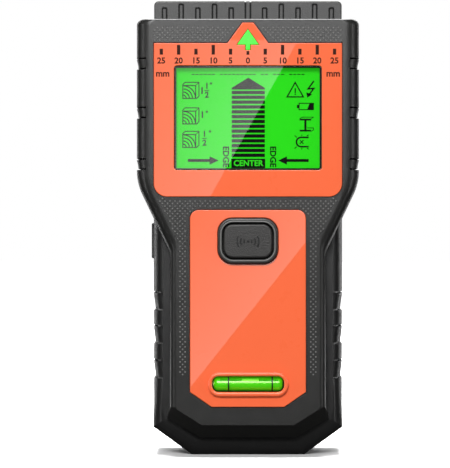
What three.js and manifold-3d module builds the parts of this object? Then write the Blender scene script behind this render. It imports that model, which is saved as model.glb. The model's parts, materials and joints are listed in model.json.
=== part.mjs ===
// A handheld stud finder, millimetres, +Z up, standing on the foot of its handle.
// +X is to the right seen from the front and the front faces -Y. While it is built, Y is the depth
// behind the front face; the last lines shift the group so that its box is centred on the Z axis.
import * as THREE from "three";
import { mergeVertices } from "three/addons/utils/BufferGeometryUtils.js";
import Module from "manifold-3d";

const wasm = await Module();
wasm.setup();

// ---------- driving dimensions ----------
const battery = { width: 26.5, height: 46.4, thickness: 16.5, terminal: 2.1, corner: 2 };
const WALL = 2.0; // shell wall
const SEAM = 0.1; // gap between the two shells
const FIT = 0.15; // gap round an inlaid or sliding piece
const PARTING = 6.0; // depth of the joint between the shells
const PANEL = 0.8; // thickness of the orange panels and the window
const SINK = 0.2; // panels lie this far below the front face
const PROUD = 0.8; // button collar and level lip stand this far out
const BAY_WALL = 1.2;
const BAY_FRONT = 7.5; // depth of the battery bay's front
const BAY_FLOOR = 4.1; // height of the battery bay's floor
const CONNECTOR = { width: 26, depth: 13, thickness: 3.6, gap: 0.3 };
const GRIP_SIDE = 7.8; // front shell's handle outside the battery bay, each side
const REAR_STEP = 5.1; // rear shell stands this much wider than the front one
const LEDGE = 2.1; // rear shell's ledge beside the front shell
const HEAD_HALF = 32.3;
const HEAD_LENGTH = 55.7; // from the waist to the head's top
const BUTTON_ZONE = 13.0; // from the battery bay to the waist
const RULER = { half: 28.1, height: 7.3, front: 22, back: 26.6, pitch: 5, groove: 1.2, cut: 0.9 };
const PAD = { radius: 4, thickness: 1.0, inFromHead: 9, inFromGrip: 7.2, belowTop: 22, lower: 34 };
const SCREW = { shank: 1.1, hole: 1.5, pilot: 1.25, head: 2.5, headHeight: 2, sink: 2.9, boss: 3.6 };
const BOARD = { front: 10.5, thickness: 1.6 };
const LCD = { side: 5.9, bottom: 7.7, top: 6.55, rim: 0.55, glassFront: 2.7, glass: 1.9, light: 2.8 };
const MODE = { halfWidth: 7.05, halfHeight: 4.9, radius: 2.8, gap: 0.45, stem: 2, below: 8.7 };
const SIDE = { height: 10.4, depth: 5.5, centre: 16, proud: 0.7, stem: 1.5, below: 8.7 };
const VIAL = { left: -10.2, right: 10.3, height: 21.25, radius: 2.15, wall: 0.5, depth: 1.7, plug: 1.5 };
const SWITCH = { body: 6, height: 3.4, plunger: 1.7 };

// ---------- derived sizes ----------
const bayHalf = battery.width / 2 + 0.35;
const bayOuter = bayHalf + BAY_WALL;
const bayBack = BAY_FRONT + battery.thickness + 1.1;
const backFace = bayBack + 1.9;
const gripHalf = bayOuter + GRIP_SIDE;
const rearHalf = gripHalf + REAR_STEP;
const batteryFoot = BAY_FLOOR + 0.1;
const batteryTop = batteryFoot + battery.height;
const connectorFoot = batteryTop + battery.terminal + CONNECTOR.gap;
const bayTop = connectorFoot + CONNECTOR.thickness + 1.6;
const waist = bayTop + BUTTON_ZONE;
const headTop = waist + HEAD_LENGTH;
const boardBack = BOARD.front + BOARD.thickness;
const insideBack = backFace - WALL + 0.2;
const upperPanel = { half: HEAD_HALF - 5.1, bottom: waist + 4.1, top: headTop - 7.2 };
const peak = { base: 5.9, tip: 1.6, top: headTop - 1.3 };
const lowerPanel = { half: gripHalf - 5.85, bottom: 14.6, top: waist + 0.3 };
const lcdWindow = {
  half: upperPanel.half - LCD.side,
  bottom: upperPanel.bottom + LCD.bottom,
  top: upperPanel.top - LCD.top,
};
const modeZ = waist - MODE.below;
const sideZ = waist - SIDE.below;
const screws = {
  upper: { x: HEAD_HALF - 7.5, z: headTop - 8.2 },
  lower: { x: bayOuter + SCREW.boss + 2.1, z: 16 },
};

// ---------- solids ----------
function solid(geometry) {
  const bare = geometry.index ? geometry : geometry.clone();
  bare.deleteAttribute("normal");
  bare.deleteAttribute("uv");
  const merged = mergeVertices(bare, 1e-4);
  return new wasm.Manifold(
    new wasm.Mesh({
      numProp: 3,
      vertProperties: new Float32Array(merged.attributes.position.array),
      triVerts: new Uint32Array(merged.index.array),
    }),
  );
}

function geometryOf(body) {
  const mesh = body.getMesh();
  const geometry = new THREE.BufferGeometry();
  geometry.setAttribute("position", new THREE.BufferAttribute(new Float32Array(mesh.vertProperties), 3));
  geometry.setIndex(new THREE.BufferAttribute(new Uint32Array(mesh.triVerts), 1));
  geometry.computeVertexNormals();
  return geometry;
}

function joined(bodies) {
  return bodies.reduce((sum, body) => sum.add(body));
}

// A box from its lowest corner to its highest.
function box([x0, y0, z0], [x1, y1, z1]) {
  const geometry = new THREE.BoxGeometry(x1 - x0, y1 - y0, z1 - z0);
  geometry.translate((x0 + x1) / 2, (y0 + y1) / 2, (z0 + z1) / 2);
  return solid(geometry);
}

// A prism over an outline of [x, z] points, from one depth to another.
function plate(outline, from, to) {
  const shape = new THREE.Shape(outline.map(([x, z]) => new THREE.Vector2(x, z)));
  const geometry = new THREE.ExtrudeGeometry(shape, { depth: to - from, bevelEnabled: false });
  geometry.rotateX(Math.PI / 2);
  geometry.translate(0, to, 0);
  return solid(geometry);
}

// A cylinder along an axis "x", "y" or "z", centred on the point, from one place on it to another.
function rod(axis, centre, radius, from, to, sides = 16) {
  const geometry = new THREE.CylinderGeometry(radius, radius, to - from, sides);
  const middle = { ...centre, [axis]: (from + to) / 2 };
  if (axis === "x") geometry.rotateZ(Math.PI / 2);
  if (axis === "z") geometry.rotateX(Math.PI / 2);
  geometry.translate(middle.x, middle.y, middle.z);
  return solid(geometry);
}

// An arc of points round a centre, angles in degrees from +x towards +z.
function arc(x, z, radius, start, end, steps) {
  return Array.from({ length: steps + 1 }, (_, i) => {
    const angle = ((start + ((end - start) * i) / steps) * Math.PI) / 180;
    return [x + radius * Math.cos(angle), z + radius * Math.sin(angle)];
  });
}

function roundedBox(x, z, halfWidth, halfHeight, radius, steps = 4) {
  const corners = [
    [1, 1, 0],
    [-1, 1, 90],
    [-1, -1, 180],
    [1, -1, 270],
  ];
  return corners.flatMap(([sx, sz, start]) =>
    arc(x + sx * (halfWidth - radius), z + sz * (halfHeight - radius), radius, start, start + 90, steps),
  );
}

function mirrored(half) {
  return [...half, ...[...half].reverse().filter(([x]) => x > 1e-6).map(([x, z]) => [-x, z])];
}

const group = new THREE.Group();

function add(name, body, colour, roughness = 0.6, metalness = 0) {
  const material = new THREE.MeshStandardMaterial({ color: colour, roughness, metalness });
  const mesh = new THREE.Mesh(geometryOf(body), material);
  mesh.name = name;
  group.add(mesh);
}

// ---------- housing outlines ----------
// The outlines of one shell all have the same number of points, so rings can be lofted between them.
// The waist is a sloping line between a convex curve under the head and a hollow one above the handle.
const WAIST = { above: 11.7, below: 13.9, round: 16, hollow: 8 };

// The slope that joins the two curves, in radians from upright.
function waistSlope() {
  const across = WAIST.round + WAIST.hollow - (HEAD_HALF - gripHalf);
  const up = WAIST.above + WAIST.below;
  return Math.atan2(up, across) - Math.acos((WAIST.round + WAIST.hollow) / Math.hypot(across, up));
}
const waistTurn = waistSlope();
const waistDegrees = (waistTurn * 180) / Math.PI;
const curveReach = WAIST.round / Math.cos(waistTurn) - WAIST.round;
const waistHalf = HEAD_HALF + curveReach - WAIST.above * Math.tan(waistTurn);

// The height at which the sloping line, moved in by an offset, reaches a half-width.
function waistHeight(x, offset) {
  return waist + (x - waistHalf + offset) / Math.tan(waistTurn);
}

// The convex curve from the head's upright side into the sloping line.
function waistCurve(half, offset, steps = 4) {
  const endX = half - WAIST.round * (1 - Math.cos(waistTurn));
  const centre = waistHeight(endX, offset) + WAIST.round * Math.sin(waistTurn);
  return arc(half - WAIST.round, centre, WAIST.round, 0, -waistDegrees, steps);
}

// The hollow curve from the sloping line into the handle's upright side.
function hollowCurve(grip, offset, steps = 3) {
  const startX = grip + WAIST.hollow * (1 - Math.cos(waistTurn));
  const centre = waistHeight(startX, offset) - WAIST.hollow * Math.sin(waistTurn);
  return arc(grip + WAIST.hollow, centre, WAIST.hollow, 180 - waistDegrees, 180, steps);
}

// The grooves across each side of the head: soft above, sharp below.
// The first lies a set way below the head's top and the last just above the waist's curve.
const GROOVE = { height: 2.9, depth: 0.45, belowTop: 11.6, aboveCurve: 0.4, middle: 0.488 };
const HEAD_CORNER = 1.7;
const firstGroove = headTop - GROOVE.belowTop;
const lastGroove = waist + WAIST.above + GROOVE.aboveCurve + GROOVE.height;
const grooveTops = [firstGroove, firstGroove + GROOVE.middle * (lastGroove - firstGroove), lastGroove];

function sideGrooves(half, depth) {
  return grooveTops.flatMap((top) => {
    const foot = top - GROOVE.height;
    return [
      [half, top],
      [half - depth, foot + 0.5],
      [half - depth, foot + 0.15],
      [half, foot],
    ];
  });
}

function frontOutline(half, inset, grooveDepth, grip, foot) {
  return mirrored([
    ...arc(half - HEAD_CORNER, headTop - inset.top - HEAD_CORNER, HEAD_CORNER, 90, 0, 3),
    ...sideGrooves(half, grooveDepth),
    ...waistCurve(half, inset.waist),
    ...hollowCurve(grip, inset.waist),
    ...foot,
  ]);
}

// Lofts a closed body through rings of [x, y, z] points. Each ring runs down the right side and up
// the left one, so point i faces point count - 1 - i, and the ends are strips across those pairs.
function loft(rings) {
  const count = rings[0].length;
  const last = (rings.length - 1) * count;
  const index = [];
  for (let i = 0; i < count / 2 - 1; i++) {
    const [a, b, c, d] = [i, i + 1, count - 2 - i, count - 1 - i];
    index.push(a, b, c, a, c, d);
    index.push(last + a, last + c, last + b, last + a, last + d, last + c);
  }
  for (let ring = 0; ring + 1 < rings.length; ring++) {
    for (let i = 0; i < count; i++) {
      const a = ring * count + i;
      const b = ring * count + ((i + 1) % count);
      index.push(a, a + count, b, b, a + count, b + count);
    }
  }
  const geometry = new THREE.BufferGeometry();
  geometry.setAttribute("position", new THREE.BufferAttribute(new Float32Array(rings.flat(2)), 3));
  geometry.setIndex(index);
  const body = solid(geometry);
  return body.volume() < 0 ? solid(flipped(geometry)) : body;
}

// A straight prism over a housing outline.
function prism(outline, from, to) {
  return loft([at(from, outline), at(to, outline)]);
}

function at(depth, outline) {
  return outline.map(([x, z]) => [x, depth, z]);
}

function flipped(geometry) {
  const index = geometry.index.array;
  for (let i = 0; i < index.length; i += 3) [index[i], index[i + 1]] = [index[i + 1], index[i]];
  return geometry;
}

// ---------- front shell ----------
const FACE_INSET = { side: 4.3, grip: 2.0, top: 0.8 };
const BEVEL_BELOW = 14.4; // under this height the edge is a flat bevel
const frontWall = frontOutline(HEAD_HALF, { top: 0, waist: 0 }, GROOVE.depth, gripHalf, [
  [gripHalf, BEVEL_BELOW],
  [gripHalf + 0.9, 11],
  [gripHalf - 8.7, 5.4],
]);
const frontFace = frontOutline(
  HEAD_HALF - FACE_INSET.side,
  { top: FACE_INSET.top, waist: 3.67 },
  0,
  gripHalf - FACE_INSET.grip,
  [
    [gripHalf - FACE_INSET.grip, BEVEL_BELOW + 0.3],
    [gripHalf - FACE_INSET.grip, 14],
    [gripHalf - 9.3, 9.4],
  ],
);

// The ring of the front shell's edge at an angle round its fillet, 0 on the face and 90 on the wall.
function filletRing(angle) {
  const turn = (angle * Math.PI) / 180;
  return frontWall.map(([wallX, wallZ], i) => {
    const [faceX, faceZ] = frontFace[i];
    const inset = 1.1 * Math.hypot(wallX - faceX, wallZ - faceZ);
    const flat = wallZ < BEVEL_BELOW;
    const across = flat ? angle / 90 : Math.sin(turn);
    const deep = flat ? angle / 90 : 1 - Math.cos(turn);
    return [faceX + (wallX - faceX) * across, inset * deep, faceZ + (wallZ - faceZ) * across];
  });
}

function panelOutline(extra) {
  const { half, bottom, top } = upperPanel;
  const round = 3.8;
  return mirrored([
    [peak.tip + extra, peak.top + extra],
    [peak.base + extra, top + extra],
    [half + extra, top + extra],
    ...arc(half - round, bottom + round, round + extra, 0, -90, 5),
  ]);
}

function lowerPanelOutline(extra) {
  const { half, bottom, top } = lowerPanel;
  const round = 2.5;
  return mirrored([
    ...arc(half - round, top - round, round + extra, 90, 0, 4),
    [half + extra, bottom + 4.3],
    [half - 6.25, bottom - extra],
  ]);
}

function lcdOpening(extra) {
  const { half, bottom, top } = lcdWindow;
  return roundedBox(0, (bottom + top) / 2, half + extra, (top - bottom) / 2 + extra, 0.9 + extra, 3);
}

function arrowOutline(extra) {
  const base = headTop - 7.64;
  return mirrored([
    [0, headTop - 3.3 + 1.5 * extra],
    [3.1 + 1.5 * extra, base - extra],
    [0.63 + extra, base - extra],
    [0.63 + extra, headTop - 9.2 - extra],
  ]);
}

// The mode button's cap, or the opening round it.
function modeOutline(extra) {
  return roundedBox(0, modeZ, MODE.halfWidth + extra, MODE.halfHeight + extra, MODE.radius + extra);
}

const collar = { halfWidth: MODE.halfWidth + 1.6, halfHeight: MODE.halfHeight + 1.7, radius: 4.2 };
const vialMiddle = (VIAL.left + VIAL.right) / 2;
const vialHalf = (VIAL.right - VIAL.left) / 2;
const boardScrews = [
  { name: "board_screw_left", x: -(lcdWindow.half + 4.6), z: headTop - 22.7 },
  { name: "board_screw_right", x: lcdWindow.half + 4.6, z: headTop - 22.7 },
  { name: "board_screw_lower", x: 0, z: waist + 3 },
];
const BOARD_SCREW = { shank: 0.85, pilot: 1.0, boss: 2.2, head: 1.9, headHeight: 1.4 };
const housingScrews = [
  { name: "housing_screw_upper_left", x: -screws.upper.x, z: screws.upper.z },
  { name: "housing_screw_upper_right", x: screws.upper.x, z: screws.upper.z },
  { name: "housing_screw_lower_left", x: -screws.lower.x, z: screws.lower.z },
  { name: "housing_screw_lower_right", x: screws.lower.x, z: screws.lower.z },
];
const pocketFloor = SINK + PANEL + 0.05;
const frontEnd = PARTING - SEAM / 2;
const rearEnd = PARTING + SEAM / 2;

function frontShell() {
  const wallEnd = frontWall.map(([x, z]) => [x, frontEnd, z]);
  const outer = loft([filletRing(0), filletRing(30), filletRing(60), filletRing(90), wallEnd]);
  const cavity = frontOutline(
    HEAD_HALF - FACE_INSET.side - 0.2,
    { top: 2.2, waist: 4.2 },
    0,
    gripHalf - FACE_INSET.grip - 0.2,
    [
      [gripHalf - FACE_INSET.grip - 0.2, 15.5],
      [gripHalf - FACE_INSET.grip - 0.2, 15],
      [gripHalf - 9.6, 10.6],
    ],
  );
  const hollow = outer
    .subtract(prism(cavity, WALL, PARTING + 1))
    .subtract(plate(panelOutline(FIT), -1, pocketFloor))
    .subtract(plate(lowerPanelOutline(FIT), -1, pocketFloor));
  const added = [
    hollow,
    plate(roundedBox(0, modeZ, collar.halfWidth, collar.halfHeight, collar.radius), -PROUD, WALL),
    box([VIAL.left - 1.3, pocketFloor, VIAL.height - 3.7], [VIAL.right + 1.3, 5.7, VIAL.height + 3.7]),
    ...housingScrews.map(({ x, z }) => rod("y", { x, z }, SCREW.boss - 1, WALL - 0.3, frontEnd)),
    ...boardScrews.map(({ x, z }) => rod("y", { x, z }, BOARD_SCREW.boss, WALL - 0.3, BOARD.front - 0.1)),
  ];
  const cuts = [
    plate(modeOutline(MODE.gap), -2, WALL + 1),
    plate(lcdOpening(0), 0, WALL + 1),
    box([-1.5, 0, headTop - 9], [1.5, WALL + 1, headTop - 4.6]),
    box(
      [VIAL.left - 0.1, -1, VIAL.height - VIAL.radius - 0.3],
      [VIAL.right + 0.1, VIAL.depth + VIAL.radius + 0.2, VIAL.height + VIAL.radius + 0.3],
    ),
    ...housingScrews.map(({ x, z }) => rod("y", { x, z }, SCREW.pilot, WALL + 0.6, PARTING + 1)),
    ...boardScrews.map(({ x, z }) => rod("y", { x, z }, BOARD_SCREW.pilot, 5, BOARD.front + 1)),
  ];
  return joined(added).subtract(joined(cuts));
}

// ---------- rear shell ----------
const FLARE = { side: 6, foot: 2.4 }; // depth over which the rear shell widens behind the joint
const BACK_ROUND = 1.8;
const GRIP_NOTCHES = [47.5, 37.7, 27.6]; // top of each finger groove
const GRIP_NOTCH = { height: 5.1, depth: 0.45 };
const footCorner = 8.1;
const footHalf = rearHalf - 11.3;

function gripNotches(x, depth) {
  return GRIP_NOTCHES.flatMap((top) => {
    const foot = top - GRIP_NOTCH.height;
    return [
      [x, top],
      [x - depth, foot + 1.2],
      [x - depth, foot + 0.2],
      [x, foot],
    ];
  });
}

function rearOutline(half, inset, groove, grip, notch, foot) {
  return mirrored([
    ...arc(half - HEAD_CORNER, headTop - inset - HEAD_CORNER, HEAD_CORNER, 90, 0, 3),
    ...sideGrooves(half, groove),
    ...waistCurve(half, inset * 1.1),
    [grip, waistHeight(grip, inset * 1.1)],
    ...gripNotches(grip, notch),
    ...foot,
  ]);
}

const rearFront = rearOutline(HEAD_HALF, 0, GROOVE.depth, gripHalf + LEDGE, 0, [
  [gripHalf + LEDGE, BEVEL_BELOW],
  [gripHalf + 1.3, 10.9],
  [gripHalf - 8.7, 5.4],
]);
const rearFlank = rearOutline(HEAD_HALF, 0, GROOVE.depth, rearHalf, GRIP_NOTCH.depth, [
  [rearHalf, BEVEL_BELOW],
  [rearHalf, footCorner],
  [footHalf, 0],
]);

function rearBack(inset) {
  return rearOutline(HEAD_HALF - inset, inset, 0, rearHalf - inset, 0, [
    [rearHalf - inset, BEVEL_BELOW],
    [rearHalf - inset, footCorner + inset / 2],
    [footHalf - inset / 2, inset],
  ]);
}

function rearOuter() {
  const flare = rearFlank.map(([x, z]) => {
    const deep = z < BEVEL_BELOW - 0.1 ? FLARE.foot : FLARE.side;
    return [x, rearEnd + deep, z];
  });
  return loft([
    at(rearEnd, rearFront),
    flare,
    at(backFace - BACK_ROUND, rearFlank),
    at(backFace - 0.45 * BACK_ROUND, rearBack(0.25 * BACK_ROUND)),
    at(backFace, rearBack(BACK_ROUND)),
  ]);
}

function rulerEdge() {
  const { half, height, front, back, pitch, groove, cut } = RULER;
  const top = headTop + height;
  const round = 1.3;
  const strip = plate(
    mirrored([
      ...arc(half - round, top - round, round, 90, 0, 3),
      ...arc(half + 1, headTop + 1, 1, 180, 270, 3),
      [half + 1, headTop - 3],
    ]),
    front,
    back,
  );
  const marks = [1, 2, 3, 4, 5].flatMap((step) => {
    const tall = step % 2 ? height - 1.7 : height - 0.65;
    return [-step, step].map((side) =>
      box(
        [side * pitch - groove / 2, front - 1, headTop],
        [side * pitch + groove / 2, front + cut, headTop + tall],
      ),
    );
  });
  const notch = box([-0.75, front - 1, headTop + 3.5], [0.75, front + 1.5, top + 1]);
  return strip.subtract(joined(marks)).subtract(notch);
}

const hinge = { y: bayBack + 0.5, z: BAY_FLOOR + 1.1, radius: 1.4, pin: 0.8, pinHole: 0.95 };
const door = { half: bayOuter + 0.55, top: bayTop - 0.3, front: bayBack + 0.1, tab: 5, tabHeight: 2.2 };
const batteryY = BAY_FRONT + 0.1 + battery.thickness / 2;
const leadX = 3;

function rearShell() {
  const outer = rearOuter();
  const inner = HEAD_HALF - WALL - GROOVE.depth;
  const shallow = rearOutline(inner - 0.4, 2.4, 0, gripHalf + LEDGE - WALL, 0, [
    [gripHalf + LEDGE - WALL, 15.2],
    [gripHalf - 0.5, 12.4],
    [gripHalf - 9.2, 7.3],
  ]);
  const deep = rearOutline(inner, 2, 0, rearHalf - WALL - GRIP_NOTCH.depth, 0, [
    [rearHalf - WALL - GRIP_NOTCH.depth, 15.2],
    [rearHalf - WALL - GRIP_NOTCH.depth, 9.3],
    [footHalf - 0.6, 2],
  ]);
  const stage = PARTING + 5;
  const cavity = prism(shallow, PARTING - 1, stage + 0.5).add(prism(deep, stage, insideBack));
  const hollow = outer.subtract(cavity);
  const inserts = [
    box([-bayOuter, BAY_FRONT - BAY_WALL, 1], [bayOuter, insideBack + 0.5, bayTop + BAY_WALL]),
    box([-bayOuter - 3.6, insideBack - 2.6, 1.5], [-bayOuter, insideBack + 0.5, 8.5]),
    box([bayOuter, insideBack - 2.6, 1.5], [bayOuter + 3.6, insideBack + 0.5, 8.5]),
    ...housingScrews.map(({ x, z }) => rod("y", { x, z }, SCREW.boss, rearEnd, insideBack + 0.5, 20)),
  ].map((insert) => insert.intersect(outer));
  const sinkFloor = backFace - 11;
  const slide = SIDE.depth / 2 + FIT;
  const doorRoom = door.half + 0.25;
  const cuts = [
    box([-bayHalf, BAY_FRONT, BAY_FLOOR], [bayHalf, backFace + 1, bayTop]),
    box([-doorRoom, bayBack, hinge.z - hinge.radius - 0.25], [doorRoom, backFace + 1, bayTop]),
    box([-door.tab - 0.3, bayBack, bayTop - 1], [door.tab + 0.3, backFace + 1, bayTop + door.tabHeight]),
    rod("x", hinge, hinge.pinHole, -door.half - 1.9, door.half + 1.9, 12),
    rod("x", hinge, hinge.radius + 0.25, -doorRoom, doorRoom, 16),
    box([-leadX - 1.5, batteryY - 2, bayTop - 1], [leadX + 1.5, batteryY + 2, bayTop + BAY_WALL + 1]),
    box(
      [-rearHalf - 1, SIDE.centre - slide, sideZ - SIDE.height / 2 - FIT],
      [-rearHalf + 4, SIDE.centre + slide, sideZ + SIDE.height / 2 + FIT],
    ),
    ...housingScrews.map(({ x, z }) => rod("y", { x, z }, SCREW.hole, 0, backFace + 1)),
    ...housingScrews.map(({ x, z }) => rod("y", { x, z }, SCREW.sink, sinkFloor, backFace + 1, 20)),
  ];
  return joined([hollow, ...inserts, rulerEdge()]).subtract(joined(cuts));
}

add("front_shell", frontShell(), 0x383636, 0.55);
add("rear_shell", rearShell(), 0x2a2a2a, 0.55);

// ---------- panels, window, lamp ----------
const panelBack = SINK + PANEL;
const panelCut = plate(lcdOpening(0), -1, 3).add(plate(arrowOutline(0.1), -1, 3));
add("display_panel", plate(panelOutline(0), SINK, panelBack).subtract(panelCut), 0xff7043, 0.15);
add("display_window", plate(lcdOpening(-0.08), SINK, panelBack), 0xddeedd, 0.05);

const lampPipe = box([-1.2, panelBack, headTop - 8.7], [1.2, WALL + 1.5, headTop - 4.9]);
add("centre_lamp_window", plate(arrowOutline(0), SINK, panelBack).add(lampPipe), 0x64ff5a, 0.3);

function controlPanel() {
  const slot = VIAL.radius + 0.15;
  const lip = plate(
    roundedBox(vialMiddle, VIAL.height, vialHalf + 1.6, slot + 1.4, slot + 1.3, 5),
    -PROUD,
    SINK + 0.1,
  );
  const vialSlot = plate(roundedBox(vialMiddle, VIAL.height, vialHalf + FIT, slot, 0.5, 2), -2, 3);
  const ring = roundedBox(0, modeZ, collar.halfWidth + FIT, collar.halfHeight + FIT, collar.radius + FIT);
  const panel = plate(lowerPanelOutline(0), SINK, panelBack).add(lip);
  return panel.subtract(vialSlot).subtract(plate(ring, -2, 3));
}
add("control_panel", controlPanel(), 0xff7043, 0.15);

// ---------- display stack ----------
const lcdMiddle = (lcdWindow.bottom + lcdWindow.top) / 2;
const lcdTall = (lcdWindow.top - lcdWindow.bottom) / 2;
const glassBack = LCD.glassFront + LCD.glass;
const stackEnd = BOARD.front - 0.1;

function lcdPlate(extra, from, to, shorter = 0) {
  const half = lcdWindow.half + extra;
  const tall = lcdTall + extra - shorter;
  return box([-half, from, lcdMiddle - tall], [half, to, lcdMiddle + tall]);
}
add(
  "lcd_frame",
  lcdPlate(1.2, WALL + 0.1, stackEnd)
    .subtract(lcdPlate(-LCD.rim, 0, 4))
    .subtract(lcdPlate(0.7, LCD.glassFront - 0.1, stackEnd + 1)),
  0x111111,
);
add("lcd_glass", lcdPlate(0.5, LCD.glassFront, glassBack), 0x28e114, 0.3);
add("backlight_panel", lcdPlate(0.5, glassBack + 0.2, glassBack + 0.2 + LCD.light, 1.9), 0xeef5ee, 0.4);
[
  ["zebra_strip_top", lcdMiddle + lcdTall + 0.4 - 1.5],
  ["zebra_strip_bottom", lcdMiddle - lcdTall - 0.4],
].forEach(([name, foot]) => {
  const half = lcdWindow.half - 2.3;
  add(name, box([-half, glassBack + 0.05, foot], [half, stackEnd, foot + 1.5]), 0xd08a9a, 0.8);
});

// ---------- circuit boards ----------
const boardFoot = bayTop + BAY_WALL + 0.6;
const boardLow = gripHalf - 0.5;
const boardHigh = HEAD_HALF - 4;
const boardNarrow = screws.upper.x - SCREW.boss - 0.5;
const boardStep = screws.upper.z - SCREW.boss - 1.8;

const mainOutline = mirrored([
  [boardNarrow, headTop - 4],
  [boardNarrow, boardStep],
  [boardHigh, boardStep],
  [boardHigh, waist + 9],
  [boardLow, waist - 5],
  [boardLow, boardFoot],
]);
const screwHoles = joined(boardScrews.map(({ x, z }) => rod("y", { x, z }, BOARD_SCREW.pilot + 0.1, 0, 20)));
const mainBoard = plate(mainOutline, BOARD.front, boardBack);
add("main_board", mainBoard.subtract(screwHoles), 0x1e7a45, 0.5);

const onBoard = boardBack + 0.05;
add("controller_chip", box([-13, onBoard, waist + 5], [-3, onBoard + 1.6, waist + 15]), 0x1a1a1a, 0.5);
add("buzzer", rod("y", { x: 14.5, z: waist + 5 }, 6, onBoard, onBoard + 5.5, 20), 0x202020, 0.5);
[-8, 8].forEach((x) => {
  const name = x < 0 ? "capacitor_left" : "capacitor_right";
  add(name, rod("y", { x, z: waist - 5 }, 2.5, onBoard, onBoard + 7), 0x2d3a66, 0.4);
});
add("centre_led", rod("y", { x: 0, z: headTop - 6.8 }, 1.5, WALL + 4.2, stackEnd, 12), 0x9cff8a, 0.2);

const sensorFront = insideBack - 2.0;
const sensorBoard = mirrored([
  [boardNarrow, headTop - 5],
  [boardNarrow, boardStep],
  [boardHigh - 1.3, boardStep],
  [boardHigh - 1.3, waist + 14],
]);
add("sensor_board", plate(sensorBoard, sensorFront, sensorFront + 1.5), 0x1e7a45, 0.5);
["left", "centre", "right"].forEach((place, i) => {
  const x = (i - 1) * 17;
  const body = box([x - 7, sensorFront + 1.55, waist + 17], [x + 7, insideBack - 0.05, boardStep - 1]);
  add(`sensor_plate_${place}`, body, 0xc87941, 0.4, 0.8);
});

// The header joins the two boards, and the coil fills the room between it and the head's top.
const HEADER = { half: 7.5, aboveWaist: 16, height: 2.5 };
const COIL = { aboveHeader: 6.2, belowTop: 9, winding: 3.5, thickness: 3 };
const headerFoot = waist + HEADER.aboveWaist;
const headerTop = headerFoot + HEADER.height;
const header = box([-HEADER.half, onBoard, headerFoot], [HEADER.half, sensorFront - 0.05, headerTop]);
const coilFoot = headerTop + COIL.aboveHeader;
const coilRadius = (headTop - COIL.belowTop - coilFoot) / 2;
const coilAt = { x: 0, z: coilFoot + coilRadius };
const coilBack = sensorFront - 0.1;
const coil = rod("y", coilAt, coilRadius, coilBack - COIL.thickness, coilBack, 28);
const coilHole = rod("y", coilAt, coilRadius - COIL.winding, 0, backFace, 28);
add("search_coil", coil.subtract(coilHole), 0xb5651d, 0.4, 0.5);
add("board_header", header, 0x161616, 0.6);

// ---------- mode button and its switch ----------
function modeButton() {
  const cap = plate(modeOutline(0), -PROUD + 0.1, WALL + 1.4);
  const flange = box([-8.4, WALL + 0.6, modeZ - 6.2], [8.4, WALL + 1.5, modeZ + 6.2]);
  return joined([cap, flange, rod("y", { x: 0, z: modeZ }, MODE.stem, WALL + 1, 5.4)]);
}
add("mode_button", modeButton(), 0x4a4848, 0.7);

const modeBody = 7.0;
const plungerAt = { x: 0, z: modeZ };
function switchBody(corner0, corner1, bore) {
  return box(corner0, corner1).subtract(bore);
}
const switchHalf = SWITCH.body / 2;
add(
  "mode_switch_body",
  switchBody(
    [-switchHalf, modeBody, modeZ - switchHalf],
    [switchHalf, modeBody + SWITCH.height, modeZ + switchHalf],
    rod("y", plungerAt, SWITCH.plunger + FIT, 0, modeBody + 1.7),
  ),
  0x202020,
);
add("mode_switch_plunger", rod("y", plungerAt, SWITCH.plunger, 5.5, modeBody + 1), 0xd9d4c4, 0.5);

// ---------- side button and its switch ----------
const sideInner = -rearHalf + WALL + GRIP_NOTCH.depth + 0.2;
const sideOuter = -rearHalf - SIDE.proud;
const sideStem = sideInner + 1.9;
const sideBody = sideStem + 1.5;
const sideAxis = { y: SIDE.centre, z: sideZ };
function sideButton() {
  const block = (extraY, extraZ, from, to) => {
    const [y, z] = [SIDE.depth / 2 + extraY, SIDE.height / 2 + extraZ];
    return box([from, SIDE.centre - y, sideZ - z], [to, SIDE.centre + y, sideZ + z]);
  };
  const cap = block(0, 0, sideOuter, sideInner + 0.2);
  const flange = block(0.8, 1, sideInner, sideInner + 0.8);
  return joined([cap, flange, rod("x", sideAxis, SIDE.stem, sideInner + 0.5, sideStem)]);
}
add("side_button", sideButton(), 0x2b2b2b, 0.7);
add(
  "side_switch_body",
  switchBody(
    [sideBody, onBoard, sideZ - switchHalf],
    [sideBody + SWITCH.height, SIDE.centre + switchHalf, sideZ + switchHalf],
    rod("x", sideAxis, SWITCH.plunger + FIT, sideBody - 1, sideBody + 1.7),
  ),
  0x202020,
);
add("side_switch_plunger", rod("x", sideAxis, SWITCH.plunger, sideStem + 0.1, sideBody + 1), 0xd9d4c4, 0.5);

// ---------- level ----------
const vialAxis = { y: VIAL.depth, z: VIAL.height };
const bore = VIAL.radius - VIAL.wall;
const vialBore = rod("x", vialAxis, bore, VIAL.left - 1, VIAL.right - 0.8, 24);
const tube = rod("x", vialAxis, VIAL.radius, VIAL.left, VIAL.right, 24).subtract(vialBore);
add("vial_tube", tube, 0xbfe8a0, 0.05);
add("vial_plug", rod("x", vialAxis, bore - 0.05, VIAL.left, VIAL.left + VIAL.plug, 16), 0xd8e8c8, 0.4);
const fluidEnds = [VIAL.left + VIAL.plug + 0.05, VIAL.right - 0.85];
const bubbleFloor = VIAL.height + 0.75;
const channel = box([fluidEnds[0] + 0.7, -2, bubbleFloor], [fluidEnds[1] - 0.7, 6, VIAL.height + 3]);
const fluid = rod("x", vialAxis, bore - 0.05, ...fluidEnds, 24);
add("vial_fluid", fluid.subtract(channel), 0x46d70f, 0.1);
const vialMarks = [vialMiddle - 5.65, vialMiddle + 6.95];
const bubbleMiddle = (vialMarks[0] + vialMarks[1]) / 2;
const bubbleHalf = 2.4;
const bubble = rod("x", vialAxis, bore - 0.15, bubbleMiddle - bubbleHalf, bubbleMiddle + bubbleHalf, 16);
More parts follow.
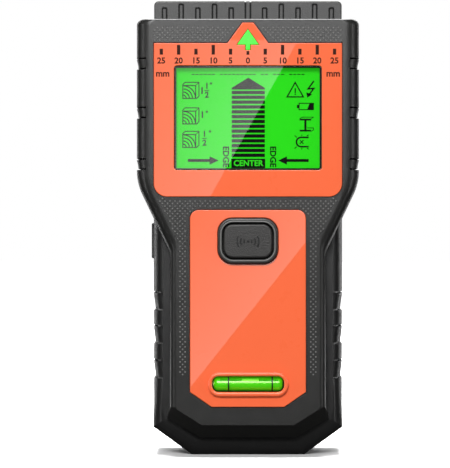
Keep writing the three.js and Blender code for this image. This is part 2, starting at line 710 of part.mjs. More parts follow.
const underBubble = box([-20, -5, VIAL.height - 5], [20, 8, bubbleFloor + 0.1]);
add("vial_bubble", bubble.subtract(underBubble), 0xe8ffd8, 0.1);
vialMarks.forEach((x, i) => {
  const outside = rod("x", vialAxis, VIAL.radius + 0.2, x - 0.2, x + 0.2, 24);
  const inside = rod("x", vialAxis, VIAL.radius + 0.05, x - 1, x + 1, 24);
  add(i ? "vial_ring_right" : "vial_ring_left", outside.subtract(inside), 0x0c0c0c, 0.6);
});

// ---------- battery and connector ----------
// An upright prism over a rounded rectangle.
function post(x, y, halfWidth, halfDepth, radius, from, to) {
  const shape = new THREE.Shape(
    roundedBox(x, y, halfWidth, halfDepth, radius, 3).map(([a, b]) => new THREE.Vector2(a, b)),
  );
  const geometry = new THREE.ExtrudeGeometry(shape, { depth: to - from, bevelEnabled: false });
  geometry.translate(0, 0, from);
  return solid(geometry);
}

const batteryHalf = battery.width / 2;
const contactTop = connectorFoot - 0.05;
const snapX = 6.35;
add(
  "battery",
  post(0, batteryY, batteryHalf, battery.thickness / 2, battery.corner, batteryFoot, batteryTop),
  0x2456b8,
  0.35,
);

// An upright cylinder on the battery's middle plane.
function upright(x, radius, from, to, sides = 16) {
  return rod("z", { x, y: batteryY }, radius, from, to, sides);
}

function uprightRing(x, outer, inner, from, to) {
  return upright(x, outer, from, to, 20).subtract(upright(x, inner, from - 1, to + 1, 20));
}
const snapFoot = batteryTop + 0.2;
const terminalTop = batteryTop + battery.terminal;
add("battery_terminal_positive", upright(snapX, 2.6, batteryTop, terminalTop), 0xc8c8c8, 0.3, 1);
add("battery_terminal_negative", uprightRing(-snapX, 4.3, 3.3, batteryTop, terminalTop), 0xc8c8c8, 0.3, 1);
add("snap_contact_positive", uprightRing(snapX, 4.1, 3.0, snapFoot, contactTop), 0xd0c8a8, 0.3, 1);
add("snap_contact_negative", upright(-snapX, 2.8, snapFoot, contactTop), 0xd0c8a8, 0.3, 1);
const connectorTop = connectorFoot + CONNECTOR.thickness;
add(
  "snap_connector",
  post(0, batteryY, CONNECTOR.width / 2, CONNECTOR.depth / 2, 4, connectorFoot, connectorTop),
  0x1b1b1b,
  0.7,
);

// A lead from the connector's top, up through the bay's slot and forward to the board's back.
function lead(x) {
  const route = new THREE.CatmullRomCurve3([
    new THREE.Vector3(x, batteryY, connectorTop + 0.3),
    new THREE.Vector3(x, batteryY, connectorTop + 2.2),
    new THREE.Vector3(x, batteryY - 0.6, bayTop + BAY_WALL + 1.6),
    new THREE.Vector3(x, batteryY - 2.2, bayTop + BAY_WALL + 2.7),
    new THREE.Vector3(x, boardBack + 0.3, bayTop + BAY_WALL + 2.9),
  ]);
  const section = new THREE.Shape().absarc(0, 0, 0.65, 0, 2 * Math.PI);
  return solid(new THREE.ExtrudeGeometry(section, { extrudePath: route, steps: 12, curveSegments: 4 }));
}
add("battery_lead_red", lead(leadX), 0xb01515, 0.6);
add("battery_lead_black", lead(-leadX), 0x141414, 0.6);

// ---------- battery door ----------
function batteryDoor() {
  const profile = [
    ...arc(hinge.y, hinge.z, hinge.radius, 180, 360, 8),
    [backFace, door.top],
    [door.front, door.top],
    [door.front, hinge.z + 1],
  ];
  const shape = new THREE.Shape(profile.map(([y, z]) => new THREE.Vector2(y, z)));
  const geometry = new THREE.ExtrudeGeometry(shape, { depth: 2 * door.half, bevelEnabled: false });
  geometry.rotateX(Math.PI / 2);
  geometry.rotateZ(Math.PI / 2);
  geometry.translate(-door.half, 0, 0);
  const tab = box([-door.tab, door.front, door.top - 1], [door.tab, backFace, door.top + door.tabHeight]);
  const pins = rod("x", hinge, hinge.pin, -door.half - 1.6, door.half + 1.6, 12);
  return joined([solid(geometry), tab, pins]);
}
add("battery_door", batteryDoor(), 0x2a2a2a, 0.6);
add("door_foam_pad", box([-9, door.front - 0.8, 26], [9, door.front - 0.05, 40]), 0x555555, 0.95);

// ---------- fasteners and pads ----------
housingScrews.forEach(({ name, x, z }) => {
  const seat = backFace - 11 - 0.05;
  const head = rod("y", { x, z }, SCREW.head, seat + 0.1, seat + 0.1 + SCREW.headHeight);
  add(name, head.add(rod("y", { x, z }, SCREW.shank, WALL + 1.4, seat + 1)), 0x9a9a9a, 0.35, 1);
});
boardScrews.forEach(({ name, x, z }) => {
  const head = rod("y", { x, z }, BOARD_SCREW.head, onBoard, onBoard + BOARD_SCREW.headHeight);
  add(name, head.add(rod("y", { x, z }, BOARD_SCREW.shank, 6, onBoard + 0.5)), 0x9a9a9a, 0.35, 1);
});
const upperPad = { x: HEAD_HALF - PAD.inFromHead, z: headTop - PAD.belowTop };
const lowerPad = { x: rearHalf - PAD.inFromGrip, z: PAD.lower };
[
  ["felt_pad_upper_left", -upperPad.x, upperPad.z],
  ["felt_pad_upper_right", upperPad.x, upperPad.z],
  ["felt_pad_lower_left", -lowerPad.x, lowerPad.z],
  ["felt_pad_lower_right", lowerPad.x, lowerPad.z],
].forEach(([name, x, z]) => {
  add(name, rod("y", { x, z }, PAD.radius, backFace, backFace + PAD.thickness, 20), 0x3c3c3c, 0.95);
});

group.position.y = -(backFace + PAD.thickness - PROUD) / 2;
export default group;
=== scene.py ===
import json
import math

import bmesh
import bpy
from mathutils import Matrix, Vector


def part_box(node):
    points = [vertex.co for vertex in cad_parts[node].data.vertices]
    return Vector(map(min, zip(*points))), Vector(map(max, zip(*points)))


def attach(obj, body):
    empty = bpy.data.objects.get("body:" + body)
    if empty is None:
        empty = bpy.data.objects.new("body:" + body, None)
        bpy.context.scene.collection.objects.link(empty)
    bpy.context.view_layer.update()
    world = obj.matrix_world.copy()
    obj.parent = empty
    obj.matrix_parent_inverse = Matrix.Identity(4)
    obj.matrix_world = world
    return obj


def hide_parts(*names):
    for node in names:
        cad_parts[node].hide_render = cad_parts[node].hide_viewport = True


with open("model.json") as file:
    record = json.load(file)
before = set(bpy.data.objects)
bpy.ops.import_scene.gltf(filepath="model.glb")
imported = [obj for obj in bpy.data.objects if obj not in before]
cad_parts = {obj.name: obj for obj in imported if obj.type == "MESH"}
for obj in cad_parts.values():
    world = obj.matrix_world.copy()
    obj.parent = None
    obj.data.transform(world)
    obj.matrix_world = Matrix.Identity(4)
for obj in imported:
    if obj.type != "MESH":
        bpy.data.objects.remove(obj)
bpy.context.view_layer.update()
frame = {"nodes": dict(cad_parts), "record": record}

MM = 0.001
NODES = frame["nodes"]

# ---- sizes, in millimetres
# They are read from the frame where it holds them. Depths count back from the front face.


def span(node):
    """A node's lowest and highest corner in millimetres."""
    low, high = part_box(node)
    return low / MM, high / MM


FRONT_HIGH = span("front_shell")[1]
REAR_HIGH = span("rear_shell")[1]
PANEL_LOW, PANEL_HIGH = span("display_panel")
LOWER_LOW, LOWER_HIGH = span("control_panel")
WINDOW_LOW, WINDOW_HIGH = span("display_window")
GLASS_LOW = span("lcd_glass")[0]
CAP_LOW, CAP_HIGH = span("mode_button")
SIDE_LOW, SIDE_HIGH = span("side_button")
TUBE_LOW, TUBE_HIGH = span("vial_tube")
DOOR_LOW, DOOR_HIGH = span("battery_door")
BATTERY_LOW, BATTERY_HIGH = span("battery")

SINK = 0.2  # how far the panels lie below the black face
PANEL = 0.8  # the panels' thickness
WALL = 2.0
PROUD = 0.8  # how far the collar and the lip stand out of the black face
GAP = 0.15  # the clearance round a panel, the collar or the side button
WINDOW_FIT = 0.08  # the clearance round the window
PARTING = 6.0  # the depth at which the two shells meet
GRIP_SIDE = 5.85  # from the lower panel's side to the front shell's side
REAR_STEP = 5.1  # from the front shell's side to the rear shell's, along the handle
WAIST_DROP = 0.3  # how far the middle of the waist lies below the lower panel's top

FACE_Y = PANEL_LOW.y - SINK
BACK = REAR_HIGH.y - FACE_Y
HEAD_HALF = FRONT_HIGH.x
HEAD_TOP = FRONT_HIGH.z
RULER_TOP = REAR_HIGH.z
LOWER_HALF = LOWER_HIGH.x
GRIP_HALF = LOWER_HALF + GRIP_SIDE
REAR_HALF = GRIP_HALF + REAR_STEP
WAIST = LOWER_HIGH.z - WAIST_DROP
MODE_Z = (CAP_LOW.z + CAP_HIGH.z) / 2
MODE_HALF = (7.05, 4.9)
COLLAR_HALF = (8.65, 6.6)
VIAL_Z = (TUBE_LOW.z + TUBE_HIGH.z) / 2
VIAL_X = (TUBE_LOW.x + TUBE_HIGH.x) / 2
VIAL_HALF = (TUBE_HIGH.x - TUBE_LOW.x) / 2
LCD_MID = (WINDOW_LOW.z + WINDOW_HIGH.z) / 2
LCD_HALF = WINDOW_HIGH.x + WINDOW_FIT
LCD_TALL = (WINDOW_HIGH.z - WINDOW_LOW.z) / 2 + WINDOW_FIT
LCD_FRONT = GLASS_LOW.y - FACE_Y


# ---- outlines, as lists of (x, z)
# Most run down the right side, from the top, and up the left one.


def arc(x, z, radius, start, end, steps):
    """Points round a centre, angles in degrees from +x towards +z."""
    turns = [math.radians(start + (end - start) * i / steps) for i in range(steps + 1)]
    return [(x + radius * math.cos(t), z + radius * math.sin(t)) for t in turns]


def rounded(x, z, half_x, half_z, radius, steps=8):
    """A rectangle with round corners."""
    corners = ((1, 1, 0), (-1, 1, 90), (-1, -1, 180), (1, -1, 270))
    points = []
    for sx, sz, start in corners:
        cx = x + sx * (half_x - radius)
        cz = z + sz * (half_z - radius)
        points += arc(cx, cz, radius, start, start + 90, steps)
    return points


def mirrored(half):
    """A closed outline from its right half, which runs from top to bottom."""
    left = [(-x, z) for x, z in reversed(half) if x > 1e-6]
    return list(half) + left


def bar(x, z, half_x, half_z):
    """A rectangle's outline."""
    left, right, low, high = x - half_x, x + half_x, z - half_z, z + half_z
    return [(left, low), (right, low), (right, high), (left, high)]


def stroke(points, width):
    """The outline of a line through points, as one closed loop with square ends."""
    points = [Vector(p) for p in points]
    left, right = [], []
    for i, point in enumerate(points):
        before = (point - points[i - 1]).normalized() if i else None
        after = (points[i + 1] - point).normalized() if i + 1 < len(points) else None
        along = (before + after).normalized() if before and after else (before or after)
        spread = width / 2 / max(0.35, along.dot(before or after))
        across = Vector((-along.y, along.x)) * spread
        left.append(tuple(point + across))
        right.append(tuple(point - across))
    return left + right[::-1]


WAIST_ABOVE, WAIST_BELOW = 11.7, 13.9
WAIST_ROUND, WAIST_HOLLOW = 16.0, 8.0
across = WAIST_ROUND + WAIST_HOLLOW - HEAD_HALF + GRIP_HALF
drop = WAIST_ABOVE + WAIST_BELOW
WAIST_TURN = math.atan2(drop, across) - math.acos((WAIST_ROUND + WAIST_HOLLOW) / math.hypot(across, drop))
WAIST_DEGREES = math.degrees(WAIST_TURN)
WAIST_HALF = (
    HEAD_HALF - WAIST_ROUND + WAIST_ROUND / math.cos(WAIST_TURN) - WAIST_ABOVE * math.tan(WAIST_TURN)
)
HEAD_CORNER = 1.7
GROOVE_TOPS = (11.6, 25.8, 40.7)  # below the head's top
GROOVE_HEIGHT = 2.9
GROOVE_DEPTH = 0.45
GRIP_TOPS = (47.5, 37.7, 27.6)
GRIP_NOTCH = 5.1
BEVEL_BELOW = 14.4  # the height below which the foot's bevels start


def waist_z(x, offset):
    """The height at which the sloping waist, moved in by an offset, reaches a half-width."""
    return WAIST + (x - WAIST_HALF + offset) / math.tan(WAIST_TURN)


def waist_curve(half, offset, steps=12):
    """The convex curve from the head's side into the sloping waist."""
    end_z = waist_z(half - WAIST_ROUND * (1 - math.cos(WAIST_TURN)), offset)
    centre = end_z + WAIST_ROUND * math.sin(WAIST_TURN)
    return arc(half - WAIST_ROUND, centre, WAIST_ROUND, 0, -WAIST_DEGREES, steps)


def notch(x, top, height, depth):
    """A groove across a side: soft above and sharp below."""
    foot = top - height
    soft = [(x - depth * s * s * (3 - 2 * s), top - (height - 0.5) * s) for s in (0, 0.25, 0.5, 0.75, 1)]
    return soft + [(x - depth, foot + 0.12), (x - depth * 0.3, foot + 0.02), (x, foot)]


def head_side(half, depth):
    """The head's side, from top to bottom, with its three grooves."""
    points = []
    for below in GROOVE_TOPS:
        points += notch(half, HEAD_TOP - below, GROOVE_HEIGHT, depth)
    return points


def head_outline(half, top, offset, depth, below):
    """A shell's outline: its head and waist, and then the points given for the handle and the foot."""
    corner = HEAD_CORNER
    return mirrored(
        arc(half - corner, top - corner, corner, 90, 0, 8)
        + head_side(half, depth)
        + waist_curve(half, offset)
        + below
    )


def front_outline(half, top_inset, offset, depth, grip, foot):
    """The front shell's outline, whose waist runs into the handle with a hollow curve."""
    hollow = WAIST_HOLLOW
    end = waist_z(grip + hollow * (1 - math.cos(WAIST_TURN)), offset) - hollow * math.sin(WAIST_TURN)
    handle = arc(grip + hollow, end, hollow, 180 - WAIST_DEGREES, 180, 8)
    return head_outline(half, HEAD_TOP - top_inset, offset, depth, handle + foot)


def front_wall():
    """The front shell's outline at the parting."""
    foot = [(GRIP_HALF, BEVEL_BELOW), (GRIP_HALF + 0.9, 11), (GRIP_HALF - 8.7, 5.4)]
    return front_outline(HEAD_HALF, 0, 0, GROOVE_DEPTH, GRIP_HALF, foot)


FACE_INSET = {"side": 4.3, "top": 0.8, "waist": 3.67, "grip": 2.0}


def front_face(extra=0.0):
    """The outline of the flat black face, inside the shell's rounded edge."""
    grip = GRIP_HALF - FACE_INSET["grip"] + extra
    half = HEAD_HALF - FACE_INSET["side"] + extra
    foot = [(grip, BEVEL_BELOW + 0.3), (grip, 14 - extra / 2), (GRIP_HALF - 9.3 + extra / 2, 9.4 - extra)]
    return front_outline(half, FACE_INSET["top"] - extra, FACE_INSET["waist"] - extra, 0, grip, foot)


def rear_outline(half, inset, depth, grip, notch_depth, foot):
    """The rear shell's outline, with its grip notches."""
    offset = inset * 1.1
    side = [(grip, waist_z(grip, offset))]
    for notch_top in GRIP_TOPS:
        side += notch(grip, notch_top, GRIP_NOTCH, notch_depth)
    return head_outline(half, HEAD_TOP - inset, offset, depth, side + foot)


FOOT_CORNER = 8.1
FOOT_HALF = REAR_HALF - 11.3
LEDGE = 2.1


def rear_front():
    """The rear shell's outline at the parting: a ledge that shows round the front shell."""
    grip = GRIP_HALF + LEDGE
    foot = [(grip, BEVEL_BELOW), (GRIP_HALF + 1.3, 10.9), (GRIP_HALF - 8.7, 5.4)]
    return rear_outline(HEAD_HALF, 0, GROOVE_DEPTH, grip, 0, foot)


def rear_flank():
    """The rear shell's widest outline."""
    foot = [(REAR_HALF, BEVEL_BELOW), (REAR_HALF, FOOT_CORNER), (FOOT_HALF, 0)]
    return rear_outline(HEAD_HALF, 0, GROOVE_DEPTH, REAR_HALF, GROOVE_DEPTH, foot)


def rear_back(inset):
    """The rear shell's outline moved in, for the round edge at its back."""
    grip = REAR_HALF - inset
    foot = [(grip, BEVEL_BELOW), (grip, FOOT_CORNER + inset / 2), (FOOT_HALF - inset / 2, inset)]
    depth = GROOVE_DEPTH * max(0, 1 - inset)
    return rear_outline(HEAD_HALF - inset, inset, depth, grip, depth, foot)


def panel_outline(extra=0.0):
    """The upper panel, with its peak over the arrow."""
    half, top = PANEL_HIGH.x + extra, HEAD_TOP - 7.2 + extra
    corner = 3.8 + extra
    peak = [(1.6 + extra, HEAD_TOP - 1.3 + extra), (5.9 + extra, top), (half, top)]
    return mirrored(peak + arc(half - corner, PANEL_LOW.z - extra + corner, corner, 0, -90, 10))


def lower_outline(extra=0.0):
    """The lower panel, round at its top and cut off at its foot's corners."""
    half, foot, top = LOWER_HALF + extra, LOWER_LOW.z, LOWER_HIGH.z + extra
    corner = 2.5 + extra
    cut_off = [(half, foot + 4.3), (LOWER_HALF - 6.25, foot - extra)]
    return mirrored(arc(half - corner, top - corner, corner, 90, 0, 8) + cut_off)


def arrow_outline(extra=0.0):
    """The green arrow in the upper panel's peak."""
    tip, base, foot = HEAD_TOP - 3.3 + 1.5 * extra, HEAD_TOP - 7.64 - extra, HEAD_TOP - 9.2 - extra
    stem = 0.63 + extra
    return mirrored([(0, tip), (3.1 + 1.5 * extra, base), (stem, base), (stem, foot)])


def lcd_outline(extra=0.0):
    """The opening over the display."""
    return rounded(0, LCD_MID, LCD_HALF + extra, LCD_TALL + extra, 0.9 + max(extra, -0.5), 6)


def mode_outline(extra=0.0, steps=10):
    """The mode button's cap, or its opening when it is made wider."""
    return rounded(0, MODE_Z, MODE_HALF[0] + extra, MODE_HALF[1] + extra, 2.8 + extra, steps)


# ---- mesh tools

SHARP = 28  # degrees between faces, above which an edge is sharp


def finish_mesh(mesh, sharp=SHARP):
    """Welds, points faces out, and shades smooth between edges sharper than an angle."""
    bm = bmesh.new()
    bm.from_mesh(mesh)
    bmesh.ops.remove_doubles(bm, verts=bm.verts, dist=2e-6)
    bmesh.ops.dissolve_degenerate(bm, edges=bm.edges, dist=1e-6)
    bmesh.ops.recalc_face_normals(bm, faces=bm.faces)
    bm.to_mesh(mesh)
    bm.free()
    mesh.shade_smooth()
    mesh.set_sharp_from_angle(angle=math.radians(sharp))


def linked(name, data):
    """A new object in the scene that holds a mesh, a curve, a lamp or a camera."""
    obj = bpy.data.objects.new(name, data)
    bpy.context.scene.collection.objects.link(obj)
    return obj


def new_object(name, vertices, faces):
    """An object from millimetre points in the row frame."""
    mesh = bpy.data.meshes.new(name)
    mesh.from_pydata([Vector(v) * MM for v in vertices], [], faces)
    finish_mesh(mesh)
    return linked(name, mesh)


def ring_at(depth, outline):
    """An outline's points at a depth behind the face."""
    return [(x, FACE_Y + depth, z) for x, z in outline]


def loft(name, rings):
    """A closed body through rings that run down the right side and up the left one."""
    count = len(rings[0])
    vertices = [point for ring in rings for point in ring]
    last = (len(rings) - 1) * count
    faces = []
    for i in range(count // 2 - 1):
        quad = (i, i + 1, count - 2 - i, count - 1 - i)
        faces.append(quad)
        faces.append(tuple(last + q for q in reversed(quad)))
    for r in range(len(rings) - 1):
        for i in range(count):
            a, b = r * count + i, r * count + (i + 1) % count
            faces.append((a, a + count, b + count, b))
    return new_object(name, vertices, faces)


def from_curve(name, curve):
    """Turns a filled curve that lies in XY into a mesh that stands in XZ."""
    obj = linked(name + "_curve", curve)
    bpy.context.view_layer.update()
    mesh = bpy.data.meshes.new_from_object(obj.evaluated_get(bpy.context.evaluated_depsgraph_get()))
    bpy.data.objects.remove(obj)
    bpy.data.curves.remove(curve)
    mesh.name = name
    mesh.transform(Matrix.Rotation(math.radians(90), 4, "X"))
    return linked(name, mesh)


def plate(name, loops, front, back, bevel=0.0, steps=3, sharp=SHARP):
    """A plate over outlines, the later ones being holes, between two depths, with rounded edges."""
    curve = bpy.data.curves.new(name, "CURVE")
    curve.dimensions = "2D"
    curve.fill_mode = "BOTH"
    for loop in loops:
        spline = curve.splines.new("POLY")
        spline.points.add(len(loop) - 1)
        for point, (x, z) in zip(spline.points, loop):
            point.co = (x * MM, z * MM, 0, 1)
        spline.use_cyclic_u = True
    curve.extrude = ((back - front) / 2 - bevel) * MM
    curve.bevel_depth = bevel * MM
    curve.bevel_resolution = steps
    curve.offset = -bevel * MM
    obj = from_curve(name, curve)
    obj.data.transform(Matrix.Translation((0, (FACE_Y + (front + back) / 2) * MM, 0)))
    finish_mesh(obj.data, sharp)
    return obj


def block(name, low, high, bevel=0.0):
    """A box between two corners in the row frame, in millimetres, with rounded edges."""
    bm = bmesh.new()
    bmesh.ops.create_cube(bm, size=1)
    size = Vector(high) - Vector(low)
    centre = (Vector(high) + Vector(low)) / 2
    for v in bm.verts:
        v.co = Vector(a * b for a, b in zip(v.co, size)) + centre
    if bevel:
        bmesh.ops.bevel(bm, geom=bm.edges[:], offset=bevel, segments=3, affect="EDGES", profile=0.5)
    return from_bmesh(name, bm)


def from_bmesh(name, bm):
    """An object from a bmesh in millimetres."""
    for v in bm.verts:
        v.co *= MM
    mesh = bpy.data.meshes.new(name)
    bm.to_mesh(mesh)
    bm.free()
    finish_mesh(mesh)
    return linked(name, mesh)


TO_AXIS = {
    "x": Matrix.Rotation(math.radians(90), 3, "Y"),
    "y": Matrix.Rotation(math.radians(-90), 3, "X"),
    "z": Matrix.Identity(3),
}


def turned(name, axis, centre, profile, sides=48):
    """A solid of revolution. The profile is (radius, place along the axis) pairs, from axis to axis."""
    bm = bmesh.new()
    rings = []
    for radius, along in profile:
        if radius < 1e-6:
            rings.append([bm.verts.new((0, 0, along))])
            continue
        turns = [2 * math.pi * i / sides for i in range(sides)]
        rings.append([bm.verts.new((radius * math.cos(t), radius * math.sin(t), along)) for t in turns])
    for low, high in zip(rings, rings[1:]):
        for i in range(sides):
            j = (i + 1) % sides
            corners = [low[i % len(low)], low[j % len(low)], high[j % len(high)], high[i % len(high)]]
            face = list(dict.fromkeys(corners))
            if len(face) > 2:
                bm.faces.new(face)
    place = Vector(centre)
    place["xyz".index(axis)] = 0
    for v in bm.verts:
        v.co = TO_AXIS[axis] @ v.co + place
    return from_bmesh(name, bm)


def rod(name, axis, centre, radius, start, end, bevel=0.15, sides=48):
    """A cylinder with rounded rims along an axis, between two places on it."""
    rim = [math.radians(a) for a in (90, 45, 0)]
    near = [(radius - bevel * (1 - math.cos(t)), start + bevel * (1 - math.sin(t))) for t in rim]
    far = [(r, start + end - s) for r, s in reversed(near)]
    return turned(name, axis, centre, [(0, start)] + near + far + [(0, end)], sides)


def cut(target, tool, operation="DIFFERENCE"):
    """Applies one boolean and removes the tool."""
    modifier = target.modifiers.new("cut", "BOOLEAN")
    modifier.object = tool
    modifier.operation = operation
    modifier.solver = "EXACT"
    bpy.context.view_layer.update()
    mesh = bpy.data.meshes.new_from_object(target.evaluated_get(bpy.context.evaluated_depsgraph_get()))
    target.modifiers.clear()
    target.data = mesh
    bpy.data.objects.remove(tool)
    finish_mesh(mesh)


def join(name, objects):
    """One object with the meshes of several."""
    bm = bmesh.new()
    for obj in objects:
        bm.from_mesh(obj.data)
    mesh = bpy.data.meshes.new(name)
    bm.to_mesh(mesh)
    bm.free()
    for obj in objects:
        bpy.data.objects.remove(obj)
    mesh.shade_smooth()
    mesh.set_sharp_from_angle(angle=math.radians(SHARP))
    return linked(name, mesh)


# ---- materials


def srgb(*levels):
    """Red, green and blue from 0 to 255 as a linear colour."""
    shares = [level / 255 for level in levels]
    return (*[c / 12.92 if c <= 0.04045 else ((c + 0.055) / 1.055) ** 2.4 for c in shares], 1)


def new_material(name):
    """A material, its node tree and its Principled shader."""
    made = bpy.data.materials.new(name)
    made.use_nodes = True
    return made, made.node_tree, made.node_tree.nodes["Principled BSDF"]


def set_inputs(node, **values):
    """Sets a node's inputs, named with underscores for spaces."""
    for name, value in values.items():
        node.inputs[name.replace("_", " ")].default_value = value


def map_range(tree, source, **values):
    """The output of a node that maps a value from one range to another."""
    node = tree.nodes.new("ShaderNodeMapRange")
    set_inputs(node, **values)
    tree.links.new(source, node.inputs["Value"])
    return node.outputs["Result"]


def value_math(tree, operation, *terms):
    """The output of a math node over other nodes' outputs or plain numbers."""
    node = tree.nodes.new("ShaderNodeMath")
    node.operation = operation
    for socket, term in zip(node.inputs, terms):
        if isinstance(term, bpy.types.NodeSocket):
            tree.links.new(term, socket)
        else:
            socket.default_value = term
    return node


def material(name, colour, rough, metal=0.0, coat=0.0, spread=0.06, grain=0.0, grain_mm=0.25,
             rough_spread=0.08, glow=0.0, clear=0.0, alpha=1.0, ior=1.46, shine=0.5, stretch=(1, 1, 1)):
    """A node material: broad colour variation, patchy roughness and a fine surface grain."""
    made, tree, shader = new_material(name)
    nodes, links = tree.nodes, tree.links
    where = nodes.new("ShaderNodeTexCoord")
    scale = nodes.new("ShaderNodeMapping")
    scale.inputs["Scale"].default_value = stretch
    links.new(where.outputs["Object"], scale.inputs["Vector"])

    def noise(size_mm, detail):
        """The strength of a noise whose patches have a size."""
        node = nodes.new("ShaderNodeTexNoise")
        set_inputs(node, Scale=1 / (size_mm * MM), Detail=detail)
        links.new(scale.outputs["Vector"], node.inputs["Vector"])
        return node.outputs["Fac"]

    mix = nodes.new("ShaderNodeMix")
    mix.data_type = "RGBA"
    links.new(noise(14, 3), mix.inputs["Factor"])
    mix.inputs["A"].default_value = [c * (1 - spread) for c in colour[:3]] + [1]
    mix.inputs["B"].default_value = [min(1, c * (1 + spread)) for c in colour[:3]] + [1]
    links.new(mix.outputs["Result"], shader.inputs["Base Color"])
    low, high = max(0.01, rough - rough_spread), min(1, rough + rough_spread)
    patches = map_range(tree, noise(3, 4), To_Min=low, To_Max=high)
    links.new(patches, shader.inputs["Roughness"])
    if grain:
        bump = nodes.new("ShaderNodeBump")
        set_inputs(bump, Strength=grain, Distance=grain_mm * 0.4 * MM)
        links.new(noise(grain_mm, 2), bump.inputs["Height"])
        links.new(bump.outputs["Normal"], shader.inputs["Normal"])
    set_inputs(shader, Metallic=metal, Coat_Weight=coat, Coat_Roughness=0.005, Coat_IOR=1.8, IOR=ior,
               Specular_IOR_Level=shine, Transmission_Weight=clear, Alpha=alpha)
    if glow:
        set_inputs(shader, Emission_Color=colour, Emission_Strength=glow)
    return made


# Each finish by its slot: its colour, its roughness and what else it needs.
SLOTS = {
    "shell_black": (srgb(31, 31, 30), 0.36, {"grain": 0.3, "grain_mm": 0.28, "ior": 1.55}),
    "rear_black": (srgb(27, 27, 27), 0.36, {"grain": 0.3, "grain_mm": 0.3, "ior": 1.55}),
    "orange_gloss": (srgb(255, 112, 68), 0.3, {"coat": 1, "spread": 0.015, "shine": 0.1}),
    "clear_window": (
        (0.75, 0.75, 0.75, 1), 0.01, {"metal": 1, "alpha": 0.085, "spread": 0, "rough_spread": 0}
    ),
    "lamp_green": (srgb(70, 225, 60), 0.25, {"glow": 0.4, "spread": 0.03}),
    "frame_black": (srgb(12, 12, 12), 0.5, {"grain": 0.3, "shine": 0.15}),
    "lcd_green": (srgb(33, 196, 16), 0.5, {"glow": 0.6, "spread": 0.02, "shine": 0.05}),
    "light_guide": (srgb(225, 238, 226), 0.35, {"spread": 0.03}),
    "contact_rubber": (srgb(205, 135, 150), 0.75, {"grain": 0.3, "stretch": (6, 1, 1)}),
    "board_green": (srgb(24, 108, 60), 0.38, {"coat": 0.4, "spread": 0.18, "grain": 0.2, "grain_mm": 0.5}),
    "part_black": (srgb(22, 22, 23), 0.5, {"grain": 0.4, "grain_mm": 0.15}),
    "capacitor_blue": (srgb(38, 52, 110), 0.3, {"coat": 0.3}),
    "led_clear": (srgb(190, 255, 180), 0.1, {"clear": 0.6}),
    "copper": (srgb(205, 115, 62), 0.3, {"metal": 1, "grain": 0.3, "stretch": (1, 1, 8)}),
    "button_black": (srgb(42, 41, 40), 0.42, {"grain": 0.8, "grain_mm": 0.3}),
    "side_button_black": (srgb(34, 34, 34), 0.55, {"grain": 0.5}),
    "plunger_ivory": (srgb(222, 214, 196), 0.4, {}),
    "vial_clear": (srgb(215, 255, 150), 0.04, {"metal": 1, "alpha": 0.07, "spread": 0, "rough_spread": 0.01}),
    # The fluid and the bubble glow a little though no lamp lights them: painted light that brightens the
    # vial.
    "vial_green": (srgb(76, 205, 15), 0.2, {"glow": 0.3, "spread": 0.05}),
    "bubble": (srgb(160, 245, 90), 0.15, {"glow": 0.25}),
    "battery_wrap": (srgb(32, 78, 175), 0.25, {"coat": 0.5, "spread": 0.04}),
    "nickel": (srgb(205, 200, 188), 0.24, {"metal": 1, "grain": 0.15}),
    "connector_black": (srgb(24, 24, 24), 0.6, {"grain": 0.5}),
    "lead_red": (srgb(170, 20, 18), 0.42, {}),
    "lead_black": (srgb(18, 18, 18), 0.42, {}),
    "foam_grey": (srgb(82, 82, 84), 0.95, {"grain": 1, "grain_mm": 0.6, "spread": 0.2}),
    "screw_steel": (srgb(150, 150, 152), 0.3, {"metal": 1, "grain": 0.1, "stretch": (1, 1, 3)}),
    "felt": (srgb(48, 48, 49), 0.97, {"grain": 1, "grain_mm": 0.22, "spread": 0.25}),
}
FINISH = {slot: material(slot, colour, rough, **more) for slot, (colour, rough, more) in SLOTS.items()}
PRINT = material("scale_print", srgb(52, 24, 14), 0.45, spread=0.1, shine=0.1)
# A lighter grey for the raised dots and the collar's ring: painted highlight, since both are the face's own
# black plastic.
PAINTED_HIGHLIGHT = material("dot_painted_highlight", srgb(112, 112, 110), 0.35)
SEGMENT = material("lcd_segment", srgb(8, 14, 6), 0.5, spread=0.1, shine=0.03)
SEGMENT_CLEAR = material("lcd_letters", srgb(40, 190, 25), 0.5, glow=0.7, shine=0.03)
MARK = material("vial_mark", srgb(8, 8, 8), 0.4)

SLOT_OF = {part["node"]: part["material_slot"] for part in frame["record"]["subparts"]}
BODIES = frame["record"]["behaviour"]["bodies"]
BODY_OF = {node: body for body, nodes in BODIES.items() for node in nodes}
for node_name, node_object in NODES.items():
    node_object.data.materials.clear()
    node_object.data.materials.append(FINISH[SLOT_OF[node_name]])


def place(obj, *nodes, body=None, finish=None, slot=None, even=True):
    """Dresses a finished piece and ties it to the CAD nodes it stands for."""
    finish_slot = slot or SLOT_OF[nodes[0]]
    obj.data.materials.clear()
    obj.data.materials.append(finish or FINISH[finish_slot])
    if even:
        normals = obj.modifiers.new("normals", "WEIGHTED_NORMAL")
        normals.keep_sharp = True
    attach(obj, body or BODY_OF[nodes[0]])
    if nodes:
        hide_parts(*nodes)


# ---- front shell

REAR_START = PARTING + 0.05
FRONT_END = PARTING - 0.05
POCKET = SINK + PANEL + 0.05
SCREWS = [(span(n)[0] + span(n)[1]) / 2 for n in sorted(NODES) if n.startswith("housing_screw")]
LINE = 0.22  # half the width of a line across the flanks


def block_behind(name, x, z, half_x, half_z, front, back, bevel=0.0):
    """A box round a point of the face, between two depths behind it."""
    low = (x - half_x, FACE_Y + front, z - half_z)
    return block(name, low, (x + half_x, FACE_Y + back, z + half_z), bevel)


def level_slot(inner, outer, front, back):
    """The section of a slot for score: a rectangle between two distances out and two depths."""
    return [(inner, front), (outer, front), (outer, back), (inner, back)]


